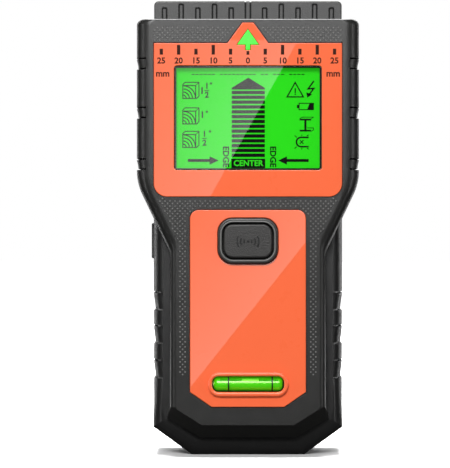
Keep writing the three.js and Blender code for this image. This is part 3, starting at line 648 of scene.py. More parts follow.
def score(target, z, section):
    """Cuts a thin level slot on both sides. The section is (x, depth) pairs on the right side."""
    for side in (-1, 1):
        corners = [(side * x, FACE_Y + depth) for x, depth in section]
        count = len(corners)
        vertices = [(x, y, z + up) for up in (-LINE, LINE) for x, y in corners]
        faces = [tuple(range(count)), tuple(range(2 * count - 1, count - 1, -1))]
        faces += [(i, i + count, (i + 1) % count + count, (i + 1) % count) for i in range(count)]
        cut(target, new_object("score", vertices, faces))


def head_lines():
    """Heights of the lines across the head's flanks: the top and the foot of each groove."""
    return [HEAD_TOP - below - down for below in GROOVE_TOPS for down in (0, GROOVE_HEIGHT)]


def fillet_ring(angle, wall, face):
    """The front shell's edge at an angle round its fillet, 0 on the face and 90 on the wall."""
    turn = math.radians(angle)
    ring = []
    for (wall_x, wall_z), (face_x, face_z) in zip(wall, face):
        inset = 1.1 * math.hypot(wall_x - face_x, wall_z - face_z)
        flat = wall_z < BEVEL_BELOW
        across = angle / 90 if flat else math.sin(turn)
        deep = angle / 90 if flat else 1 - math.cos(turn)
        x = face_x + (wall_x - face_x) * across
        z = face_z + (wall_z - face_z) * across
        ring.append((x, FACE_Y + inset * deep, z))
    return ring


def front_shell():
    """The front half: a face and wall round a hollow, with openings for what it carries."""
    wall, face = front_wall(), front_face()
    rings = [fillet_ring(angle, wall, face) for angle in range(0, 91, 10)]
    shell = loft("front_shell_visual", rings + [ring_at(FRONT_END, wall)])
    grip = GRIP_HALF - 2.2
    foot = [(grip, 15.5), (grip, 15), (GRIP_HALF - 9.6, 10.6)]
    cavity = front_outline(HEAD_HALF - 4.5, 2.2, 4.2, 0, grip, foot)
    cut(shell, loft("cavity", [ring_at(WALL, cavity), ring_at(PARTING + 1, cavity)]))
    for outline in (panel_outline(GAP), lower_outline(GAP)):
        cut(shell, plate("pocket", [outline], -1, POCKET))
    cut(shell, plate("opening", [lcd_outline()], -1, 3))
    cut(shell, block_behind("light_hole", 0, HEAD_TOP - 6.8, 1.5, 2.2, -1, 3))
    cut(shell, plate("opening", [mode_outline(0.4, 8)], -2, 3))
    cut(shell, block_behind("vial_floor", VIAL_X, VIAL_Z, VIAL_HALF + 1.3, 3.7, POCKET, 5.6), "UNION")
    cut(shell, block_behind("vial_slot", VIAL_X, VIAL_Z, VIAL_HALF + 0.1, 2.45, -1, 4.05))
    for z in head_lines():
        score(shell, z, level_slot(HEAD_HALF - 2.9, HEAD_HALF + 1, -1, 9))
    return shell


def collar_outline(extra=0.0):
    """The raised collar round the mode button."""
    return rounded(0, MODE_Z, COLLAR_HALF[0] + extra, COLLAR_HALF[1] + extra, 4.2 + extra, 10)


place(front_shell(), "front_shell")
collar = plate("mode_collar", [collar_outline(), mode_outline(0.4)], -PROUD, WALL, 0.45, 4)
place(collar, body="housing", slot="shell_black")
# A raised ring on the collar's inner edge in a lighter grey: a painted highlight, the collar being all black
# plastic.
edge_loops = [mode_outline(extra) for extra in (0.95, 0.55)]
collar_highlight_ring = plate("mode_collar_highlight_ring", edge_loops, -PROUD - 0.12, 0, 0.15, 3)
place(collar_highlight_ring, body="housing", finish=PAINTED_HIGHLIGHT, slot="shell_black")

# ---- rear shell

BAY_HALF = BATTERY_HIGH.x + 0.35
BAY_OUTER = BAY_HALF + 1.2
BAY_TOP = DOOR_HIGH.z - 1.9
BAY_BACK = BACK - 1.9
BAY_FLOOR = BATTERY_LOW.z - 0.1
HINGE_Z = DOOR_LOW.z + 1.4
HINGE_AT = (0, FACE_Y + BAY_BACK + 0.5, HINGE_Z)
DOOR_HALF = BAY_OUTER + 0.55
BACK_ROUND = 1.8  # the radius between the flanks and the back
INSIDE = BACK - 1.8  # where the room inside ends
SINK_FLOOR = BACK - 11
SIDE_DEPTH = (SIDE_LOW.y + SIDE_HIGH.y) / 2 - FACE_Y
SIDE_Z = (SIDE_LOW.z + SIDE_HIGH.z) / 2
SIDE_TALL = 10.4
SIDE_DEEP = 5.5
STRIP_HALF = 28.1
STRIP_FRONT = 22.0
STRIP_BACK = 26.6
STRIP_PITCH = 5.0


def rear_rings():
    """The rear shell's rings: out from the parting line to the flank, then round to the back."""
    front, flank = rear_front(), rear_flank()
    rings = []
    for step in range(7):
        turn = math.radians(15 * step)
        out = 0.6 * math.sin(turn) + 0.4 * step / 6
        back = 0.6 * (1 - math.cos(turn)) + 0.4 * step / 6
        ring = []
        for (x0, z0), (x1, z1) in zip(front, flank):
            deep = 2.4 if z1 < BEVEL_BELOW - 0.1 else 6.0
            ring.append((x0 + (x1 - x0) * out, FACE_Y + REAR_START + deep * back, z0 + (z1 - z0) * out))
        rings.append(ring)
    for angle in range(0, 91, 15):
        turn = math.radians(angle)
        inset = BACK_ROUND * (1 - math.cos(turn))
        rings.append(ring_at(BACK - BACK_ROUND + BACK_ROUND * math.sin(turn), rear_back(inset)))
    return rings


def rear_cavity():
    """The room inside the rear shell, less the battery bay's walls and the screw bosses."""
    inner = HEAD_HALF - WALL - GROOVE_DEPTH
    ledge = GRIP_HALF + LEDGE - WALL
    foot = [(ledge, 15.2), (GRIP_HALF - 0.5, 12.4), (GRIP_HALF - 9.2, 7.3)]
    shallow = rear_outline(inner - 0.4, 2.4, 0, ledge, 0, foot)
    wide = REAR_HALF - WALL - GROOVE_DEPTH
    deep = rear_outline(inner, 2, 0, wide, 0, [(wide, 15.2), (wide, 9.3), (FOOT_HALF - 0.6, 2)])
    cavity = loft("cavity", [ring_at(PARTING - 1, shallow), ring_at(PARTING + 5.5, shallow)])
    cut(cavity, loft("cavity", [ring_at(PARTING + 5, deep), ring_at(INSIDE, deep)]), "UNION")
    back, top = FACE_Y + INSIDE + 1, BAY_TOP + 1.2
    cut(cavity, block("bay", (-BAY_OUTER, FACE_Y + 6.3, 1.5), (BAY_OUTER, back, top)))
    half = DOOR_HALF + 1.2
    cut(cavity, block("ledge", (-half, FACE_Y + INSIDE - 1.2, 1.5), (half, back, top)))
    for centre in SCREWS:
        cut(cavity, rod("boss", "y", centre, 3.6, FACE_Y + 4, FACE_Y + BACK, 0.01))
    return cavity


def side_block(name, left, right, more_deep=0.0, more_tall=0.0, bevel=0.0):
    """A box round the side button's middle, between two places across, grown from its cap."""
    deep, tall = SIDE_DEEP / 2 + more_deep, SIDE_TALL / 2 + more_tall
    low = (left, FACE_Y + SIDE_DEPTH - deep, SIDE_Z - tall)
    return block(name, low, (right, FACE_Y + SIDE_DEPTH + deep, SIDE_Z + tall), bevel)


def rear_shell():
    """The rear half, with the battery bay, its door's seat and hinge, and the side button's slot."""
    shell = loft("rear_shell_visual", rear_rings())
    cut(shell, rear_cavity())
    bay_back, behind = FACE_Y + BAY_BACK, FACE_Y + BACK + 1
    cut(shell, block("bay", (-BAY_HALF, FACE_Y + 7.5, BAY_FLOOR), (BAY_HALF, behind, BAY_TOP)))
    seat = DOOR_HALF + 0.25
    cut(shell, block("recess", (-seat, bay_back, HINGE_Z - 1.65), (seat, behind, BAY_TOP)))
    cut(shell, block("tab", (-5.3, bay_back, BAY_TOP - 1), (5.3, behind, DOOR_HIGH.z + 0.3)))
    cut(shell, rod("knuckle", "x", HINGE_AT, 1.65, -seat, seat, 0.01))
    cut(shell, side_block("side_slot", -REAR_HALF - 1, -REAR_HALF + 4, GAP, GAP))
    for centre in SCREWS:
        cut(shell, rod("sink", "y", centre, 2.9, FACE_Y + SINK_FLOOR, behind, 0.01))
    end = BACK - 4
    for z in head_lines():
        score(shell, z, level_slot(HEAD_HALF - 1.2, HEAD_HALF + 1, 5, end))
    inner, outer, front = REAR_HALF - 1.2, REAR_HALF + 1, PARTING - 1
    bent = [(REAR_HALF - 3.4, front), (outer, front), (outer, end), (inner, end), (inner, PARTING + 4)]
    for top in GRIP_TOPS:
        for down in (0, GRIP_NOTCH):
            score(shell, top - down, bent)
    return shell


place(rear_shell(), "rear_shell")


def ruler_edge():
    """The strip above the head with a groove every 5 mm and a recess in the middle."""
    outline = mirrored(
        arc(STRIP_HALF - 1.3, RULER_TOP - 1.3, 1.3, 90, 0, 6)
        + arc(STRIP_HALF + 1, HEAD_TOP + 1, 1, 180, 270, 5)
        + [(STRIP_HALF + 1, HEAD_TOP - 2.6)]
    )
    strip = plate("ruler_edge", [outline], STRIP_FRONT, STRIP_BACK, 0.35)
    for loops in ruler_grooves(RULER_TOP + 1):
        cut(strip, plate("groove", loops, STRIP_FRONT - 1, STRIP_FRONT + 2.2))
    return strip


def ruler_grooves(middle_top):
    """Ten closed grooves, each an outline with an island in it, and an open U that runs to a height."""
    low = HEAD_TOP + 1
    grooves = [[stroke([(-0.75, middle_top), (-0.75, low), (0.75, low), (0.75, middle_top)], 0.55)]]
    for step in range(1, 6):
        tall = 5.5 if step % 2 else 6.6
        middle = HEAD_TOP + tall / 2 - 0.3
        for x in (-step * STRIP_PITCH, step * STRIP_PITCH):
            outer = rounded(x, middle, 0.88, tall / 2 + 0.3, 0.5, 5)
            grooves.append([outer, rounded(x, middle, 0.36, tall / 2 - 0.25, 0.25, 5)])
    return grooves


place(ruler_edge(), body="housing", slot="rear_black")
# Black sheets at the bottom of the ruler's grooves: painted shade that darkens the channels.
groove_painted_shade = []
for loops in ruler_grooves(RULER_TOP - 0.4):
    groove_painted_shade.append(plate("floor", loops, STRIP_FRONT + 0.35, STRIP_FRONT + 2.2))
place(join("ruler_groove_painted_shade", groove_painted_shade), body="housing", slot="frame_black", even=False)

# ---- panels, window and lamp

PANEL_BACK = SINK + PANEL
panel_loops = [panel_outline(), lcd_outline(0.02), arrow_outline(0.1)]
place(plate("display_panel_visual", panel_loops, SINK, PANEL_BACK, 0.2, sharp=8), "display_panel")
window = plate("display_window_visual", [lcd_outline(-WINDOW_FIT)], SINK, PANEL_BACK, 0.08, sharp=8)
place(window, "display_window")
border = [lcd_outline(-0.04), lcd_outline(-0.55)]
place(plate("window_border", border, PANEL_BACK + 0.02, PANEL_BACK + 0.2), body="housing", slot="frame_black")
place(plate("centre_lamp_visual", [arrow_outline()], SINK, PANEL_BACK + 0.6, 0.12), "centre_lamp_window")

VIAL_R = (TUBE_HIGH.z - TUBE_LOW.z) / 2
SLOT_HALF = (VIAL_HALF + 0.12, VIAL_R + 0.12)
LIP_HALF = (VIAL_HALF + 1.4, VIAL_R + 1.35)


def lip_surface():
    """The raised lip round the vial: a rounded ridge, wider below than above."""
    loops = [
        rounded(VIAL_X, VIAL_Z - 0.1, *LIP_HALF, LIP_HALF[1] - 0.02, 12),
        rounded(VIAL_X, VIAL_Z, *SLOT_HALF, SLOT_HALF[1] - 0.4, 12),
    ]
    return plate("level_lip", loops, -PROUD, SINK + 0.1, 0.5, 5)


slot_loop = rounded(VIAL_X, VIAL_Z, SLOT_HALF[0] + 0.6, SLOT_HALF[1] + 0.6, SLOT_HALF[1], 10)
lower_loops = [lower_outline(), slot_loop, collar_outline(GAP)]
place(plate("control_panel_visual", lower_loops, SINK, PANEL_BACK, 0.2, sharp=8), "control_panel")
place(lip_surface(), body="housing", slot="orange_gloss")

# ---- printed scale

PRINT_FRONT = SINK - 0.012
FONT_TALL = 0.729


def text_mesh(name, words, x, z, tall, wide=None, depth=SINK, turn=0.0):
    """Flat words whose capitals are a given height, centred at a point on a depth plane."""
    curve = bpy.data.curves.new(name, "FONT")
    curve.body = words
    curve.align_x = "CENTER"
    curve.align_y = "CENTER"
    curve.size = tall * MM / FONT_TALL
    curve.extrude = 0.006 * MM
    curve.offset = 0.04 * tall * MM
    curve.resolution_u = 3
    obj = from_curve(name, curve)
    if wide:
        across = [v.co.x for v in obj.data.vertices]
        now = (max(across) - min(across)) / MM
        obj.data.transform(Matrix.Diagonal((wide / now, 1, 1, 1)))
    obj.data.transform(Matrix.Rotation(math.radians(turn), 4, "Y"))
    obj.data.transform(Matrix.Translation((x * MM, (FACE_Y + depth) * MM, z * MM)))
    return obj


def scale_print():
    """A tick and a number every 5 mm, counted from the middle, and the unit at both ends."""
    made = []
    loops = []
    foot = HEAD_TOP - 10.6
    for step in range(-5, 6):
        long = step % 2 == 0
        top = HEAD_TOP - (7.8 if long else 8.9)
        if step:
            loops.append(bar(step * STRIP_PITCH, (foot + top) / 2, 0.48, (top - foot) / 2))
        made.append(text_mesh("digits", str(abs(step) * 5), step * STRIP_PITCH, HEAD_TOP - 12.4, 1.75))
    loops.append(bar(0, HEAD_TOP - 10.1, 0.42, 0.55))
    for side in (-1, 1):
        made.append(text_mesh("unit", "mm", side * 24.6, HEAD_TOP - 16.1, 1.9))
    made.append(plate("ticks", loops, PRINT_FRONT, SINK + 0.01))
    return join("scale_print", made)


place(scale_print(), body="housing", finish=PRINT, slot="orange_gloss", even=False)

# ---- display

INK = LCD_FRONT - 0.05


def moved(x, z, *points):
    """Points moved to a place."""
    return [(x + a, z + b) for a, b in points]


def frame_loops(x, z, half_x, half_z, width):
    """The outer and inner outlines of a rectangular frame."""
    return [bar(x, z, half_x, half_z), bar(x, z, half_x - width, half_z - width)]


def wood_icon(x, z, half):
    """A timber's end: a square with curved growth rings and a thin top and side."""
    edge = 0.4
    face = half - edge
    shapes = [frame_loops(x - edge, z - edge, face, face, 0.28)]
    for radius in (0.9, 1.8, 2.7, 3.6):
        sweep = min(86, 86 * 2 * face / radius)
        start = (86 - sweep) / 2
        curve = arc(x - half + 0.2, z - half + 0.2, radius, start + 3, start + sweep, 8)
        shapes.append([stroke(curve, 0.3)])
    left, right, low, top = x - half, x + half, z - half, z + half
    corner = 2 * edge
    shapes.append([stroke([(left, top - corner), (left + corner, top), (right, top)], 0.26)])
    shapes.append([stroke([(right, top), (right, low + corner), (right - corner, low)], 0.26)])
    shapes.append([stroke([(right - corner, top - corner), (right, top)], 0.2)])
    return shapes


def thick_arrow(tail, head, tip, z):
    """A horizontal arrow from its tail to its tip."""
    width, wing = 0.42, 1.2
    return [[(tail, z - width), (head, z - width), (head, z - wing), (tip, z),
             (head, z + wing), (head, z + width), (tail, z + width)]]


def warning_sign(x, z):
    """A triangle with a mark in it."""
    outer = moved(x, z, (-2.65, -2.3), (2.65, -2.3), (0, 2.4))
    inner = moved(x, z, (-2.05, -1.95), (2.05, -1.95), (0, 1.7))
    return [[outer, inner], [bar(x, z - 0.3, 0.16, 0.7)], [bar(x, z - 1.4, 0.18, 0.18)]]


def bolt(x, z):
    """A zigzag arrow that points down and left."""
    zigzag = stroke(moved(x, z, (0.9, 2.4), (-0.75, 0.1), (0.9, 0.25), (-0.55, -1.7)), 0.42)
    return [[zigzag], [moved(x, z, (-1.3, -0.9), (0.35, -1.5), (-1.0, -2.45))]]


def battery_icon(x, z):
    """A battery with its right end filled."""
    filled = moved(x, z, (0.2, -1.05), (2.2, -1.05), (2.2, 1.05), (1.0, 1.05))
    return [frame_loops(x, z, 2.2, 1.05, 0.25), [filled], [bar(x - 2.45, z, 0.25, 0.45)]]


def beam_icon(x, z):
    """A steel beam in section with a thin edge behind it."""
    half = [(1.65, -1.95), (1.65, -1.45), (0.3, -1.45), (0.3, 1.25), (1.65, 1.25), (1.65, 1.75)]
    section = moved(x - 0.25, z, *half, *[(-a, b) for a, b in reversed(half)])
    over = stroke(moved(x, z, (-1.9, 1.75), (-1.1, 2.2), (2.1, 2.2), (1.4, 1.75)), 0.18)
    under = stroke(moved(x, z, (0.3, -0.9), (2.1, -0.9), (2.1, -1.5), (1.4, -1.95)), 0.18)
    return [[section], [over], [under]]


def wire_icon(x, z):
    """A bend of cable, open to the right, with a cross in it and short rays round it."""
    bend = [(2.2, 1.35)] + arc(0, 0, 1.35, 90, 270, 10) + [(2.2, -1.35)]
    shapes = [[stroke(moved(x, z, *bend), 0.45)]]
    for way in (-1, 1):
        for width, start, end in (
            (0.26, (-0.35, 0.55), (0.7, -0.55)),
            (0.22, (-1.9, 1.9), (-1.25, 1.35)),
            (0.22, (0.2, 2.15), (0.2, 1.75)),
            (0.22, (2.2, 2.1), (1.7, 1.75)),
        ):
            line = moved(x, z, (start[0], start[1] * way), (end[0], end[1] * way))
            shapes.append([stroke(line, width)])
    return shapes


# The signs on the display: heights are above its lower edge.
ICON_X = -16.6
TOWER_X = 0.1
TOWER_HALF = 4.8
TOWER_TOP = 26.75
TOWER_SHOULDER = 23.8
BAR_PITCH = 1.4
BARS = 14
FOOT_LINE = 2.75


def lcd_shapes():
    """Every sign on the display but its letters, each as outlines with the later ones as holes."""
    up = WINDOW_LOW.z
    shapes = []
    for z in (23.0, 15.6, 8.8):
        shapes += wood_icon(ICON_X, up + z, 2.4)
    shoulder = up + TOWER_SHOULDER
    left, right = TOWER_X - TOWER_HALF, TOWER_X + TOWER_HALF
    eaves = shoulder - 0.5
    roof = [(TOWER_X, up + TOWER_TOP), (right, shoulder), (right, eaves), (left, eaves), (left, shoulder)]
    shapes.append([roof])
    for row in range(BARS):
        shapes.append([bar(TOWER_X, shoulder - 1.35 - row * BAR_PITCH, TOWER_HALF, 0.5)])
    shapes.append([bar(TOWER_X, up + 1.9, TOWER_HALF + 0.1, 1.35)])
    shapes.append(thick_arrow(-17.4, -11.1, -8.5, up + FOOT_LINE))
    shapes.append(thick_arrow(17.6, 11.3, 8.8, up + FOOT_LINE))
    shapes += warning_sign(13.7, up + 23.3)
    shapes += bolt(18.2, up + 23.4)
    shapes += battery_icon(16.9, up + 18.4)
    shapes += beam_icon(16.9, up + 13.1)
    shapes += wire_icon(15.4, up + 8.1)
    for step in range(28):
        if step not in (6, 16, 19, 23):
            shapes.append([bar(-15.9 + step * 1.18, up + 27.7, 0.42, 0.13)])
    return shapes


def lcd_words():
    """The display's small numbers and its two upright words."""
    up = WINDOW_LOW.z
    words = []

    def add(word, x, z, tall, wide=None, turn=0.0):
        """Puts one word at a height above the display's lower edge."""
        words.append(text_mesh("word", word, x, up + z, tall, wide, INK + 0.02, turn))

    for x in (-6.45, 7.2):
        add("EDGE", x, 3.85, 1.75, 6.0, 90)
    add("1", -13.3, 22.9, 1.9)
    for x, z in ((-11.9, 23.0), (-12.6, 9.1)):
        add("1", x, z + 1.3, 1.7)
        add("2", x, z - 1.3, 1.7)
        words.append(plate("half_bar", [bar(x, up + z, 0.7, 0.12)], INK, INK + 0.03))
    add("1", -13.2, 15.9, 1.9)
    for x, z in ((-10.7, 24.5), (-11.9, 16.3), (-11.0, 10.6)):
        add('"', x, z, 1.4)
    return words


def lcd_segments():
    """All the dark signs on the display, as one thin layer."""
    plates = [plate("segment", shape, INK, LCD_FRONT - 0.005) for shape in lcd_shapes()]
    return join("lcd_segments", plates + lcd_words())


place(lcd_segments(), body="housing", finish=SEGMENT, slot="frame_black", even=False)
centre_word = text_mesh("centre_word", "CENTER", TOWER_X, WINDOW_LOW.z + 1.9, 1.7, 8.6, INK - 0.02)
place(centre_word, body="housing", finish=SEGMENT_CLEAR, slot="lcd_green", even=False)

# ---- mode button


def mode_button():
    """The rounded cap, the flange that keeps it in and the stem that presses the board."""
    cap = plate("mode_cap", [mode_outline()], -PROUD + 0.1, WALL + 1.4, 0.55, 5)
    flange = block_behind("flange", 0, MODE_Z, 8.4, 6.2, WALL + 0.6, WALL + 1.5, 0.1)
    stem = rod("stem", "y", (0, 0, MODE_Z), 2, FACE_Y + WALL + 1, FACE_Y + 5.4)
    return join("mode_button_visual", [cap, flange, stem])


def mode_icon():
    """A low raised mark: three nested arcs, for searching."""
    made = []
    for radius in (1.1, 2.1, 3.1):
        for start in (150, -30):
            loop = stroke(arc(0, MODE_Z, radius, start, start + 60, 8), 0.4)
            made.append(plate("arc", [loop], -PROUD - 0.08, -PROUD + 0.3, 0.06))
    made.append(plate("dot", [arc(0, MODE_Z, 0.4, 0, 330, 11)], -PROUD - 0.08, -PROUD + 0.3, 0.06))
    return join("mode_icon", made)


place(mode_button(), "mode_button")
place(mode_icon(), body="mode_button", finish=MARK, slot="button_black")

# ---- side button


def side_button():
    """The ribbed cap, with its flange and stem inside the rear shell."""
    cap = side_block("side_cap", SIDE_LOW.x, -REAR_HALF + 2.9, bevel=0.4)
    middle, reach = FACE_Y + SIDE_DEPTH, SIDE_DEEP / 2 - 0.7
    for rib in range(-2, 3):
        z = SIDE_Z + rib * 1.7
        low = (SIDE_LOW.x - 1, middle - reach, z - 0.25)
        cut(cap, block("groove", low, (SIDE_LOW.x + 0.3, middle + reach, z + 0.25)))
    start = -REAR_HALF + 2.65
    flange = side_block("flange", start, start + 0.8, 0.8, 1, 0.1)
    stem = rod("stem", "x", (0, middle, SIDE_Z), 1.5, start, start + 1.9)
    return join("side_button_visual", [cap, flange, stem])


place(side_button(), "side_button")

# ---- level


def capsule(name, radius, left, right, corner):
    """A tube's outside: a cylinder along x with round ends."""
    steps = [math.radians(15 * i) for i in range(7)]
    near = [(radius - corner + corner * math.sin(a), left + corner - corner * math.cos(a)) for a in steps]
    far = [(r, left + right - s) for r, s in reversed(near)]
    centre = (0, (TUBE_LOW.y + TUBE_HIGH.y) / 2, VIAL_Z)
    return turned(name, "x", centre, [(0, left)] + near + far + [(0, right)], 64)


def vial_tube():
    """The thin clear tube."""
    tube = capsule("vial_tube_visual", VIAL_R, TUBE_LOW.x, TUBE_HIGH.x, 1.4)
    cut(tube, capsule("bore", VIAL_R - 0.1, TUBE_LOW.x + 0.2, TUBE_HIGH.x - 0.2, 1.3))
    return tube


def vial_fluid():
    """The fluid, drawn as wide as it looks through the tube's round wall, with room for the bubble."""
    low, high = span("vial_fluid")
    bubble_low, bubble_high = span("vial_bubble")
    fluid = capsule("vial_fluid_visual", VIAL_R - 0.16, TUBE_LOW.x + 0.3, TUBE_HIGH.x - 0.3, 1.2)
    room = (low.x + 0.7, FACE_Y - 2, bubble_low.z - 0.05)
    cut(fluid, block("room", room, (high.x - 0.7, bubble_high.y + 0.05, bubble_high.z + 0.05)))
    return fluid


place(vial_tube(), "vial_tube")
place(vial_fluid(), "vial_fluid")
for name in ("vial_ring_left", "vial_ring_right"):
    NODES[name].data.materials[0] = MARK

# ---- battery door


def battery_door():
    """The door, with its hinge knuckle and pins, its tab and seven grip grooves."""
    low = (-DOOR_HALF, FACE_Y + BAY_BACK + 0.1, HINGE_Z)
    high = (DOOR_HALF, FACE_Y + BACK, BAY_TOP - 0.3)
    door = block("door", low, high, 0.3)
    cut(door, rod("knuckle", "x", HINGE_AT, 1.4, -DOOR_HALF, DOOR_HALF, 0.1), "UNION")
    cut(door, rod("pins", "x", HINGE_AT, 0.8, -DOOR_HALF - 1.6, DOOR_HALF + 1.6, 0.1), "UNION")
    cut(door, block("tab", (-5, low[1], BAY_TOP - 1.3), (5, high[1], DOOR_HIGH.z), 0.25), "UNION")
    for rib in range(7):
        z = BAY_TOP - 6 - rib * 2
        half = 9 - abs(rib - 3) * 0.6
        groove = rounded(0, z, half, 0.42, 0.4, 5)
        cut(door, plate("groove", [groove], BACK - 0.55, BACK + 1))
    return door


place(battery_door(), "battery_door")

# ---- screws and pads


def screw(node_name):
    """A screw with a low domed head and a cross in it."""
    low, high = span(node_name)
    middle = (low + high) / 2
    head = middle.x - low.x
    rim = high.y - 1
    dome = [(head * math.cos(a), rim + math.sin(a)) for a in map(math.radians, (20, 40, 60, 80))]
    stem = [(0, low.y), (1.1, low.y + 0.3), (1.1, high.y - 2), (head, high.y - 2), (head, rim)]
    made = turned(node_name + "_visual", "y", middle, stem + dome + [(0, high.y)])
    for wide, tall in ((0.28, 1.5), (1.5, 0.28)):
        cross_low = (middle.x - wide, high.y - 0.9, middle.z - tall)
        cut(made, block("cross", cross_low, (middle.x + wide, high.y + 1, middle.z + tall)))
    return made


def felt_pad(node_name):
    """A round pad with a soft rim."""
    low, high = span(node_name)
    return rod(node_name + "_visual", "y", (low + high) / 2, 4, low.y, high.y, 0.3, 64)


for node_name in sorted(NODES):
    if node_name.startswith("housing_screw"):
        place(screw(node_name), node_name)
    if node_name.startswith("felt_pad"):
        place(felt_pad(node_name), node_name)

# ---- dots on the front


DOT_PITCH = 1.45
DOT_LOW = 24
DOT_RADIUS = 0.25
DOT_HEIGHT = 0.2


def dots():
    """Low round dots in a staggered grid on the black face round the panels, flatter lower down."""
    bm = bmesh.new()
    for row in range(int(HEAD_TOP / DOT_PITCH * 2)):
        z = DOT_LOW + row * DOT_PITCH / 2
        if z > HEAD_TOP - 2.2:
            break
        for column in range(-22, 23):
            x = (column + (row % 2) / 2) * DOT_PITCH
            if dot_allowed(x, z):
                add_dot(bm, x, z, DOT_HEIGHT * min(1, max(0.15, (z - 30) / 18)))
    return from_bmesh("front_dots", bm)


def add_dot(bm, x, z, height):
    """One dot: eight sides that lean in to a flat top."""
    turns = [math.radians(45 * i) for i in range(8)]
    rings = []
    for radius, lift in ((DOT_RADIUS, 0), (DOT_RADIUS * 0.72, height)):
        y = FACE_Y + 0.01 - lift
        rings.append([bm.verts.new((x + radius * math.cos(t), y, z + radius * math.sin(t))) for t in turns])
    for i in range(8):
        j = (i + 1) % 8
        bm.faces.new((rings[0][i], rings[0][j], rings[1][j], rings[1][i]))
    bm.faces.new(rings[1])


def inside(x, z, outline):
    """True if a point lies within a closed outline."""
    hit = False
    for (x0, z0), (x1, z1) in zip(outline, outline[1:] + outline[:1]):
        if (z0 > z) != (z1 > z) and x < x0 + (z - z0) * (x1 - x0) / (z1 - z0):
            hit = not hit
    return hit


DOT_FIELD = front_face(-0.5)
DOT_HOLES = [panel_outline(0.7), lower_outline(0.7)]


def dot_allowed(x, z):
    """True on the flat face away from the panels."""
    return inside(x, z, DOT_FIELD) and not any(inside(x, z, hole) for hole in DOT_HOLES)


# The dots' lighter grey is a painted highlight on black plastic.
place(dots(), body="housing", finish=PAINTED_HIGHLIGHT, slot="shell_black", even=False)

# ---- stage, light and camera

scene = bpy.context.scene


def stage_sheet(name, corners):
    """A flat sheet between corners in millimetres."""
    mesh = bpy.data.meshes.new(name)
    mesh.from_pydata([Vector(corner) * MM for corner in corners], [], [tuple(range(len(corners)))])
    return linked(name, mesh)


def own_place(tree, operation):
    """A vector math node that works on the place in the object's own axes."""
    where = tree.nodes.new("ShaderNodeTexCoord")
    node = tree.nodes.new("ShaderNodeVectorMath")
    node.operation = operation
    tree.links.new(where.outputs["Object"], node.inputs[0])
    return node


def floor():
    """A pale floor that glows white away from the object, so that it meets the backdrop without a line."""
    obj = stage_sheet("floor", [(x, y, 0) for x, y in bar(0, 0, 3000, 3000)])
    made, tree, shader = new_material("floor_white")
    set_inputs(shader, Roughness=0.8, Emission_Color=(1, 1, 1, 1))
    far = own_place(tree, "LENGTH")
    glow = map_range(tree, far.outputs["Value"], From_Min=0.036, From_Max=0.16)
    path = tree.nodes.new("ShaderNodeLightPath")
    seen = value_math(tree, "MULTIPLY", glow, path.outputs["Is Camera Ray"])
    tree.links.new(seen.outputs["Value"], shader.inputs["Emission Strength"])
    pale = map_range(tree, path.outputs["Is Camera Ray"], To_Min=0.05, To_Max=0.65)
    tree.links.new(pale, shader.inputs["Base Color"])
    obj.data.materials.append(made)
    obj.visible_glossy = False
    return obj


def card(name, corners, edge, reach, strength):
    """A dim glowing card behind the camera, brightest along an edge, seen only as a gloss on flat faces."""
    obj = stage_sheet(name, [(x, CARD_Y, z) for x, z in corners])
    obj.visible_camera = False
    obj.visible_shadow = False
    obj.visible_diffuse = False
    made, tree, shader = new_material(name)
    tree.nodes.remove(shader)
    glow = tree.nodes.new("ShaderNodeEmission")
    (x0, z0), (x1, z1) = edge
    along = Vector((x1 - x0, 0, z1 - z0)).normalized()
    away = Vector((along.z, 0, -along.x))
    inner = sum((Vector((x, 0, z)) for x, z in corners), Vector()) / len(corners)
    if away.dot(inner - Vector((x0, 0, z0))) < 0:
        away.negate()
    far = own_place(tree, "DOT_PRODUCT")
    far.inputs[1].default_value = away
    start = away.dot(Vector((x0, 0, z0)) * MM)
    fade = map_range(tree, far.outputs["Value"], From_Min=start, From_Max=start + reach * MM,
                     To_Min=strength, To_Max=strength * 0.15)
    tree.links.new(fade, glow.inputs["Strength"])
    tree.links.new(glow.outputs["Emission"], tree.nodes["Material Output"].inputs["Surface"])
    obj.data.materials.append(made)


EYE_DISTANCE = 570.0
EYE_Z = 67.1
CARD_DISTANCE = 600.0
CARD_Y = FACE_Y - CARD_DISTANCE


def mirrored_in_face(x, z):
    """Where the card plane is hit by the reflection of the camera's view at a point of the front face."""
    grow = 1 + CARD_DISTANCE / EYE_DISTANCE
    return (x * grow, EYE_Z + (z - EYE_Z) * grow)


def gloss_cards():
    """The panels' sloping gloss, as two cards' reflections, and a haze over the black face."""
    upper = [(14.5, 120.5), (-11.6, 74.0), (-40, 74.0), (-40, 120.5)]
    lower = [(17.7, 63.5), (-20.2, 15.8), (-40, 15.8), (-40, 72.5), (17.7, 72.5)]
    for name, line, reach in (("upper_card", upper, 90), ("lower_card", lower, 80)):
        corners = [mirrored_in_face(*point) for point in line]
        card(name, corners, corners[:2], reach, 1.1)
    haze = [(320, 195), (-320, 195), (-320, 650), (320, 650)]
    card("haze_card", haze, haze[:2], 600, 5)


def area_light(name, place_at, aim, size, power):
    """A soft lamp that the camera does not see."""
    light = bpy.data.lights.new(name, "AREA")
    light.shape = "RECTANGLE"
    light.size, light.size_y = size
    light.energy = power
    obj = linked(name, light)
    obj.location = Vector(place_at)
    obj.rotation_mode = "QUATERNION"
    obj.rotation_quaternion = (Vector(aim) - Vector(place_at)).to_track_quat("-Z", "Y")
    obj.visible_camera = False
    return obj


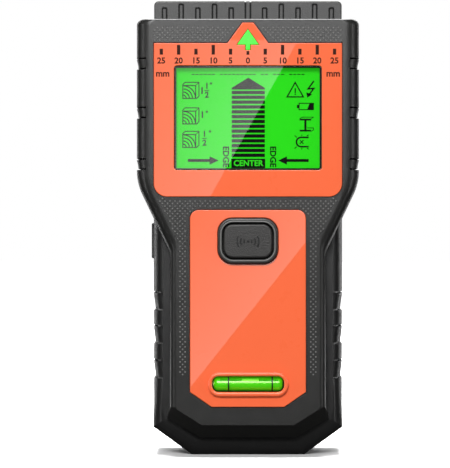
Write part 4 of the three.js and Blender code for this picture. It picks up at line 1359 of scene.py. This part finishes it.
def white_world():
    """White behind the object as the camera sees it, soft light on rough faces, and dark in gloss."""
    world = bpy.data.worlds.new("studio")
    world.use_nodes = True
    tree = world.node_tree
    path = tree.nodes.new("ShaderNodeLightPath")
    soft = value_math(tree, "MULTIPLY_ADD", path.outputs["Is Diffuse Ray"], 0.2, 0.03)
    total = value_math(tree, "ADD", soft.outputs["Value"], path.outputs["Is Camera Ray"])
    total.use_clamp = True
    background = tree.nodes["Background"]
    tree.links.new(total.outputs["Value"], background.inputs["Strength"])
    background.inputs["Color"].default_value = (1, 1, 1, 1)
    scene.world = world


ground = floor()
white_world()
gloss_cards()
MIDDLE = Vector((0, 0, 0.067))
# Each lamp by name: where it stands in metres, its width and height, and its power.
LIGHTS = {
    "key": ((-0.2, -1.1, 0.85), (0.4, 0.4), 17.3),
    "top": ((0, 0.05, 0.8), (0.8, 0.5), 1),
    "left_strip": ((-0.5, -0.15, 0.1), (0.05, 0.4), 0.4),
    "right_strip": ((0.5, -0.15, 0.1), (0.05, 0.4), 0.4),
    "left_rim": ((-0.3, 0.4, 0.1), (0.06, 0.5), 0.35),
    "right_rim": ((0.3, 0.4, 0.1), (0.06, 0.5), 0.35),
    "back": ((0, 0.9, 0.6), (1.0, 0.6), 8),
}
for lamp_name, (lamp_place, lamp_size, lamp_power) in LIGHTS.items():
    area_light(lamp_name, lamp_place, MIDDLE, lamp_size, lamp_power)
floor_lamp = area_light("floor_lamp", (0, 0.02, 0.5), Vector(), (0.2, 0.2), 12)
only_floor = bpy.data.collections.new("only_floor")
only_floor.objects.link(ground)
floor_lamp.light_linking.receiver_collection = only_floor

scene.view_settings.view_transform = "Standard"
camera = bpy.data.cameras.new("camera")
camera.sensor_width = 36
camera.lens = 152
camera.shift_x = -0.049
camera.shift_y = -0.019
camera.clip_start = 0.01
eye = linked("camera", camera)
eye.location = (0, (FACE_Y - EYE_DISTANCE) * MM, EYE_Z * MM)
eye.rotation_euler = (math.radians(90), 0, 0)
scene.camera = eye
